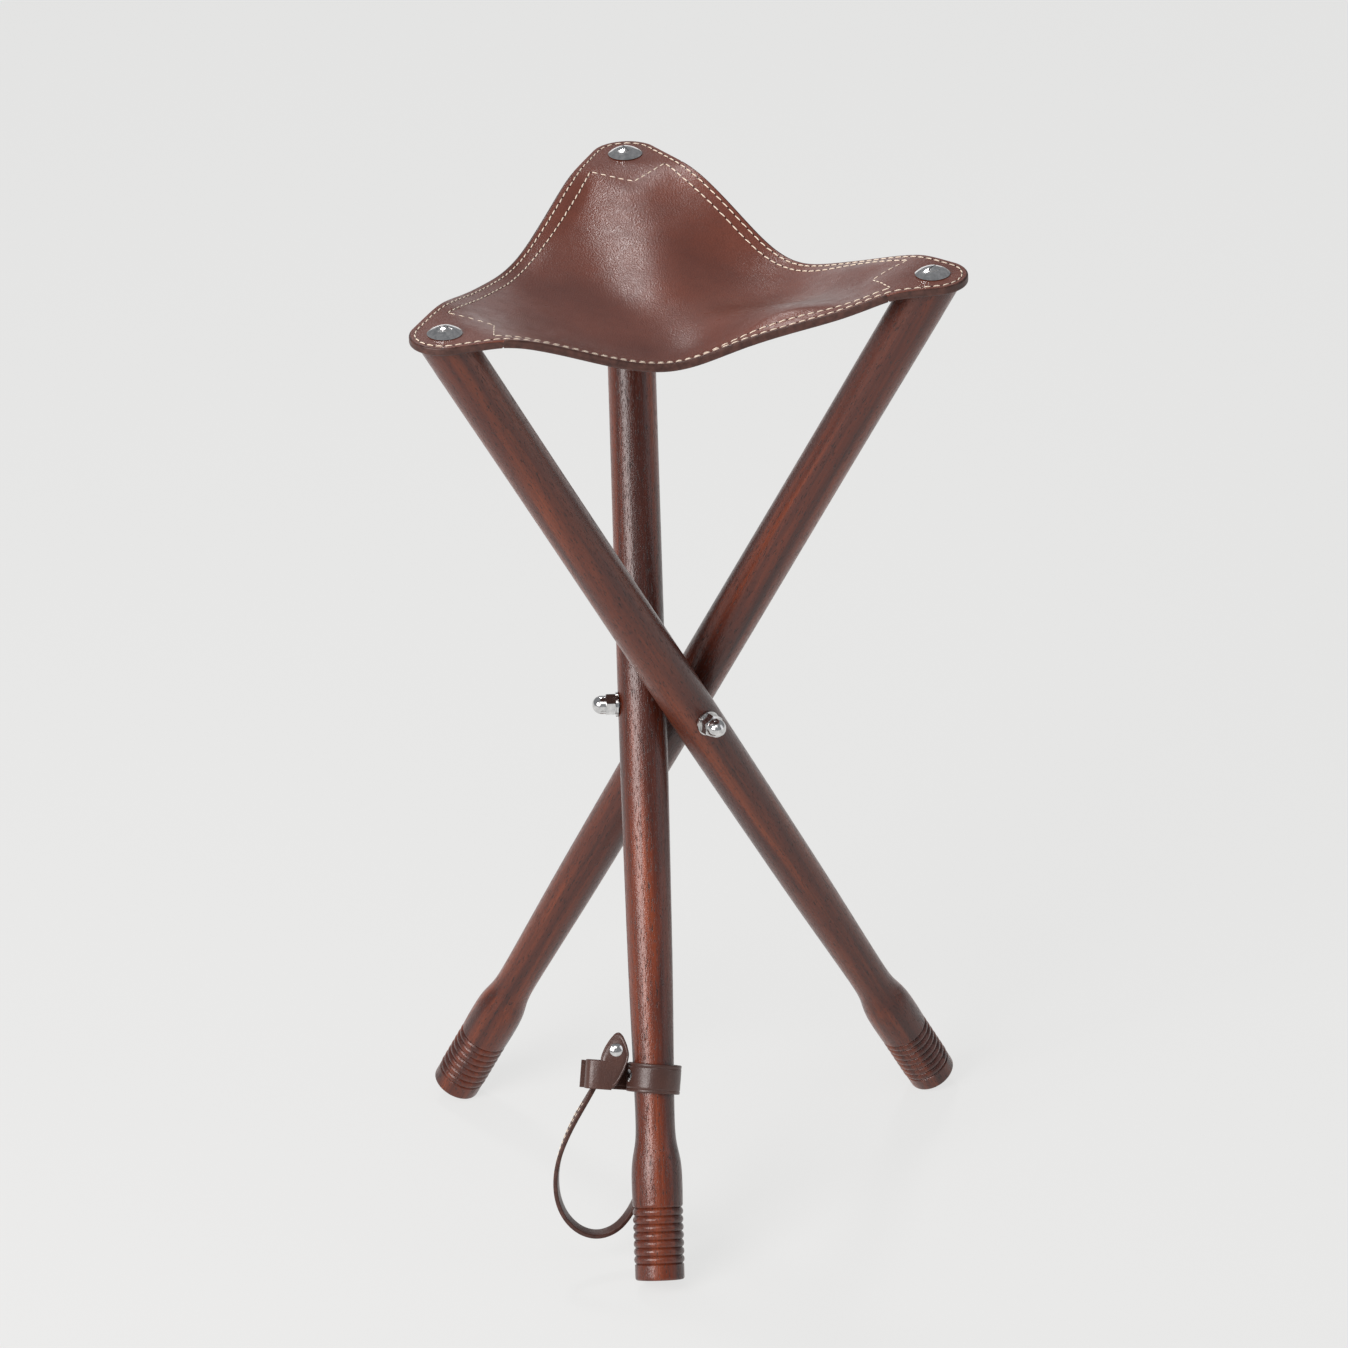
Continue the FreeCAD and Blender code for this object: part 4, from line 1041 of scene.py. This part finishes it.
def smooth_path(pts, n):
    """Catmull-Rom through points, sampled evenly."""
    P = np.array(pts, float)
    P = np.vstack([2 * P[0] - P[1], P, 2 * P[-1] - P[-2]])
    out = []
    for i in range(1, len(P) - 2):
        for t in np.linspace(0, 1, 24, endpoint=False):
            a, b, c, d = P[i - 1:i + 3]
            out.append(0.5 * ((2 * b) + (-a + c) * t + (2 * a - 5 * b + 4 * c - d) * t * t + (-a + 3 * b - 3 * c + d) * t ** 3))
    out.append(P[-2])
    return resample(np.array(out), np.linalg.norm(np.diff(np.array(out), axis=0), axis=1).sum() / n)


def strap_piece(name, plan, z, width, t, body, rep=(), closed=False, zs=None, out_sign=1.0, n=60, crease=2.2, scale=None):
    """Ribbon standing on a plan path in the strap's frame."""
    if closed:
        Q = np.asarray(plan, float)
        tan = np.roll(Q, -1, 0) - np.roll(Q, 1, 0)
    else:
        Q = smooth_path(plan, n)
        tan = np.gradient(Q, axis=0)
    tan /= np.linalg.norm(tan, axis=1)[:, None]
    nrm = np.stack([tan[:, 1], -tan[:, 0]], 1) * out_sign
    zz = np.full(len(Q), z) if zs is None else zs(np.linspace(0, 1, len(Q)))
    C = world(np.column_stack([Q, zz]))
    H = nrm[:, 0:1] * XL + nrm[:, 1:2] * YB
    W = np.repeat(ZL[None], len(Q), 0)
    ob = sweep(name, C, W, H, section(width, t, min(0.7, t / 2.6), crease), [STRAP, EDGE], closed, scale=scale)
    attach(ob, body)
    if rep:
        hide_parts(*rep)
    return ob


ang = np.radians(np.arange(0, 360, 3.0))
band = np.stack([16.1 * np.cos(ang), 16.1 * np.sin(ang)], 1)
strap_piece("strap_band", band, 0.0, 18.6, 2.4, "strap", ("closing_strap",), closed=True, out_sign=1.0)
strap_piece("strap_tail", [(-4.0, 16.9), (-12.0, 13.4), (-20.0, 9.9), (-33.0, 5.0), (-40.0, 3.7), (-47.0, 3.2)], -0.3, 17.6, 2.4, "strap", ("closing_strap",), out_sign=-1.0)

# pointed snap end: folds forward over the tail, then the point turns up
TAB = [(-33.0, 0.6), (-38.0, 0.15), (-41.8, -0.9), (-43.2, -4.4), (-41.3, -8.2), (-37.0, -9.4), (-32.0, -9.4), (-27.0, -9.2)]
strap_piece("snap_tab_fold", TAB, 0.0, 18.6, 2.4, "snap_tab", ("snap_tab",), out_sign=-1.0, n=70)


def tip_piece():
    """Flat pointed end with rounded edges and a raised middle."""
    poly = [(-34.5, 3.5), (-30.5, -4.0), (-27, -6.2), (-23.5, -2.2), (-19.4, 5), (-16.4, 11.8), (-15.6, 16.5), (-16.9, 22.5), (-19.0, 27.8), (-21.3, 30.6), (-24.0, 30.0), (-27.6, 26.2), (-31.0, 21.4), (-33.4, 16.4), (-35.0, 9.5)]
    P = np.array(poly, float)
    cl = np.vstack([P, P[:1]])
    L = np.concatenate([[0], np.cumsum(np.linalg.norm(np.diff(cl, axis=0), axis=1))])
    s = np.linspace(0, L[-1], 97)[:-1]
    P = np.stack([np.interp(s, L, cl[:, 0]), np.interp(s, L, cl[:, 1])], 1)
    for _ in range(3):
        P = 0.5 * P + 0.25 * (np.roll(P, 1, 0) + np.roll(P, -1, 0))
    c = np.array([-25.0, 12.5])
    rows = [(1.0, 0.0), (0.985, 0.55), (0.955, 0.95), (0.90, 1.15), (0.86, 0.95), (0.83, 0.92), (0.80, 1.15), (0.6, 1.2), (0.35, 1.2), (0.12, 1.2)]
    V, F = [], []
    n = len(P)

    def bend(x, z):
        """How far the point leans back as it goes up, and its slight twist."""
        k = max(0.0, (z - 14.0) / 17.0)
        return 2.2 * k ** 2 - 0.05 * (x + 24) * k * 3.0
    for sgn in (-1, 1):
        for f, h in rows:
            for p in P:
                x, z = c + (p - c) * f
                y = -9.2 + bend(x, z) + sgn * min(h, 1.2)
                V.append(askew(x, y, z))
    m = len(rows)
    I = np.arange(2 * m * n).reshape(2 * m, n)
    for blk, fl in ((0, False), (m, True)):
        F += [list(map(int, q)) for q in quads(I[blk:blk + m], True, fl)]
        F.append(list(map(int, I[blk + m - 1][::-1] if not fl else I[blk + m - 1])))
    # the two faces meet at the rim
    V = world(np.array(V))
    re = {int(I[m, i]): int(I[0, i]) for i in range(n)}
    F = [[re.get(x, x) for x in f] for f in F]
    used = sorted({x for f in F for x in f}); r2 = {x: i for i, x in enumerate(used)}
    V = V[used]; F = [[r2[x] for x in f] for f in F]
    # outward
    f = F[len(F) // 4]
    vol = 0.0
    for g in F:
        for i in range(1, len(g) - 1):
            vol += np.dot(V[g[0]] - V[0], np.cross(V[g[i]] - V[0], V[g[i + 1]] - V[0]))
    if vol < 0:
        F = [g[::-1] for g in F]
    ob = mesh("snap_tab_tip", V, F, [STRAP], sharp=50)
    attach(ob, "snap_tab")
    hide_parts("snap_tab")


tip_piece()

# ---------------------------------------------------------------- wrist loop: a flat thong on one smooth route
LOOP_SQUARE = [(-38.4, 2.6, -4.4), (-43.7, 2.4, -12.9), (-50.7, 2.6, -23.9), (-57.0, 3.6, -35.9), (-62.1, 5.2, -48.6), (-64.7, 7.8, -62.1), (-63.8, 10.8, -76.1), (-58.6, 14.4, -88.3),
               (-49.5, 18.2, -97.1), (-38.2, 21.6, -100.4), (-26.7, 24.0, -96.9), (-18.0, 25.6, -88.2), (-11.8, 26.2, -76.9), (-7.9, 25.6, -64.4), (-5.5, 24.2, -51.9), (-4.1, 22.2, -39.3),
               (-2.9, 20.0, -26.7), (-2.1, 18.0, -16.0), (-1.7, 17.2, -8.4)]
ROUTE = world(np.array([askew(*p) for p in LOOP_SQUARE])) * MM
cu = bpy.data.curves.new("loop_route", "CURVE")
cu.dimensions = "3D"
sp = cu.splines.new("NURBS")
sp.points.add(len(ROUTE) - 1)
for pt, p in zip(sp.points, ROUTE):
    pt.co = (*p, 1.0)
sp.order_u = 3
sp.use_endpoint_u = True
sp.resolution_u = 10
cob = bpy.data.objects.new("loop_route", cu)
bpy.context.scene.collection.objects.link(cob)
line = bpy.data.meshes.new_from_object(cob)
PATH = np.array([v.co[:] for v in line.vertices])
bpy.data.objects.remove(cob)


def thong(path, width=9.0, t=2.8):
    P = path / MM
    tan = np.gradient(P, axis=0)
    tan /= np.linalg.norm(tan, axis=1)[:, None]
    W = np.repeat(YB[None], len(P), 0) * 0.94 + XL * 0.0 + ZL * 0.0
    # the flat of the thong stays square to its own line, and turns a little along it
    s = np.linspace(0, 1, len(P))
    turn = np.radians(-10 + 34 * np.sin(math.pi * s) ** 2)
    W = W - tan * (W * tan).sum(1)[:, None]
    W /= np.linalg.norm(W, axis=1)[:, None]
    H = np.cross(tan, W)
    W2 = W * np.cos(turn)[:, None] + H * np.sin(turn)[:, None]
    H2 = np.cross(tan, W2)
    side = np.sign((H2 * (P - P.mean(0))).sum(1).sum())
    H2 *= side
    ends = np.minimum(1, 0.55 + 6 * np.minimum(s, 1 - s))
    sc = np.column_stack([ends, np.ones(len(P))])
    ob = sweep("wrist_loop_thong", P, W2, H2, section(width, t, 0.7, 1.9, 0.2), [STRAP, EDGE], scale=sc)
    return ob, P, tan, W2, H2


loop, LP, LT, LW, LH = thong(PATH)
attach(loop, "strap")
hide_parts("wrist_loop")

# stitches on the thong's outer face
V, F, c = [], [], 0
Ls = np.concatenate([[0], np.cumsum(np.linalg.norm(np.diff(LP, axis=0), axis=1))])


def along(A, s):
    return np.array([np.interp(s, Ls, A[:, i]) for i in range(3)])


for off in (-2.7, 2.7):
    s = 12.0
    while s < Ls[-1] - 12:
        up = along(LH, s); up /= np.linalg.norm(up)
        w = along(LW, s); w /= np.linalg.norm(w)
        p = along(LP, s) + w * off + up * 1.32
        q = along(LP, s + 2.7) + w * off + up * 1.32
        v, f = capsule(p, q, 0.27, up, 6, 0.1)
        V.append(v); F += [[x + c for x in g] for g in f]; c += len(v)
        s += 3.9
ob = mesh("loop_stitches", np.concatenate(V), F, [THREAD], sharp=60)
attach(ob, "strap")

# ---------------------------------------------------------------- metal parts keep their own shape
for n in NODES:
    o = NODES[n]
    metal = None
    if n.startswith(("acorn_nut", "outer_washer", "cup_washer", "snap_cap", "snap_socket", "strap_rivet", "corner_screw")):
        metal = NICKEL
    elif n.startswith(("pivot_hub", "spacer_washer")):
        metal = STEEL
    if metal:
        o.data.materials.clear()
        o.data.materials.append(metal)

# ---------------------------------------------------------------- floor, light, camera
def area(name, loc, target, size, power, color=(1, 1, 1), size_y=None):
    l = bpy.data.lights.new(name, "AREA")
    l.energy = power
    l.color = color
    l.shape = "RECTANGLE"
    l.size = size
    l.size_y = size_y or size
    o = bpy.data.objects.new(name, l)
    o.location = loc
    o.rotation_euler = (Vector(target) - Vector(loc)).to_track_quat("-Z", "Y").to_euler()
    bpy.context.scene.collection.objects.link(o)
    return o


fm, fnt, fb = material("pale_floor")
fb.inputs["Base Color"].default_value = (0.12, 0.12, 0.12, 1)
fb.inputs["Roughness"].default_value = 0.9
fb.inputs["Specular IOR Level"].default_value = 0.0
fb.inputs["Emission Color"].default_value = (1.0, 1.0, 0.99, 1)
fb.inputs["Emission Strength"].default_value = 0.70
me = bpy.data.meshes.new("floor")
q = 30.0
me.from_pydata([(-q, -q, -0.0006), (q, -q, -0.0006), (q, q, -0.0006), (-q, q, -0.0006)], [], [(0, 1, 2, 3)])
me.materials.append(fm)
floor = bpy.data.objects.new("floor", me)
bpy.context.scene.collection.objects.link(floor)

w = bpy.data.worlds.new("studio")
bpy.context.scene.world = w
w.use_nodes = True
w.node_tree.nodes["Background"].inputs[0].default_value = (0.94, 0.96, 1.0, 1)
w.node_tree.nodes["Background"].inputs[1].default_value = 0.30

area("back_soft", (-0.30, 1.39, 2.30), (0, 0, 0.60), 0.34, 13, (1.0, 0.97, 0.96), 0.30)
area("low_back", (0.0, 3.2, 0.85), (0, 0, 0.55), 2.0, 4.0, (1.0, 0.97, 0.96), 0.7)
area("front_top", (-0.25, -1.5, 2.3), (0, 0, 0.50), 1.1, 8, (1.0, 0.98, 0.96), 0.9)
area("key_left", (-1.60, -1.55, 1.45), (0, 0, 0.35), 1.50, 62, (1.0, 0.96, 0.95), 1.4)
area("fill_right", (1.8, -0.6, 1.0), (0, 0, 0.35), 0.9, 4, (0.96, 0.96, 1.0), 1.6)

cam = bpy.data.cameras.new("camera")
cam.sensor_width = 36
F_PX, D_MM = 7345.2, 4716.21
ELEV, ROLL, YAW = math.radians(27.1167), math.radians(-2.2191), math.radians(3.0706)
IX, IY, PX, PY = 675.145, 702.591, 17.284, 14.944
fwd = np.array([0, math.cos(ELEV), -math.sin(ELEV)]); right = np.array([1.0, 0, 0]); up = np.array([0, math.sin(ELEV), math.cos(ELEV)])
cy, sy = math.cos(-YAW), math.sin(-YAW)
Rz = np.array([[cy, -sy, 0], [sy, cy, 0], [0, 0, 1]])
fwd, right, up = Rz @ fwd, Rz @ right, Rz @ up
r2 = right * math.cos(ROLL) + up * math.sin(ROLL)
u2 = -right * math.sin(ROLL) + up * math.cos(ROLL)
hh = ((IX - 674 - PX) / F_PX * D_MM, -(IY - 674 - PY) / F_PX * D_MM, D_MM)
eye = -(hh[0] * r2 + hh[1] * u2 + hh[2] * fwd)
cam.lens = 36 * F_PX / 1348
cam.shift_x = -PX / 1348
cam.shift_y = PY / 1348
cam.clip_end = 100
co = bpy.data.objects.new("camera", cam)
co.matrix_world = Matrix((
    (r2[0], u2[0], -fwd[0], (HUB[0] + eye[0]) * MM),
    (r2[1], u2[1], -fwd[1], (HUB[1] + eye[1]) * MM),
    (r2[2], u2[2], -fwd[2], (HUB[2] + eye[2]) * MM),
    (0, 0, 0, 1)))
bpy.context.scene.collection.objects.link(co)
bpy.context.scene.camera = co
bpy.context.scene.view_settings.view_transform = "Standard"
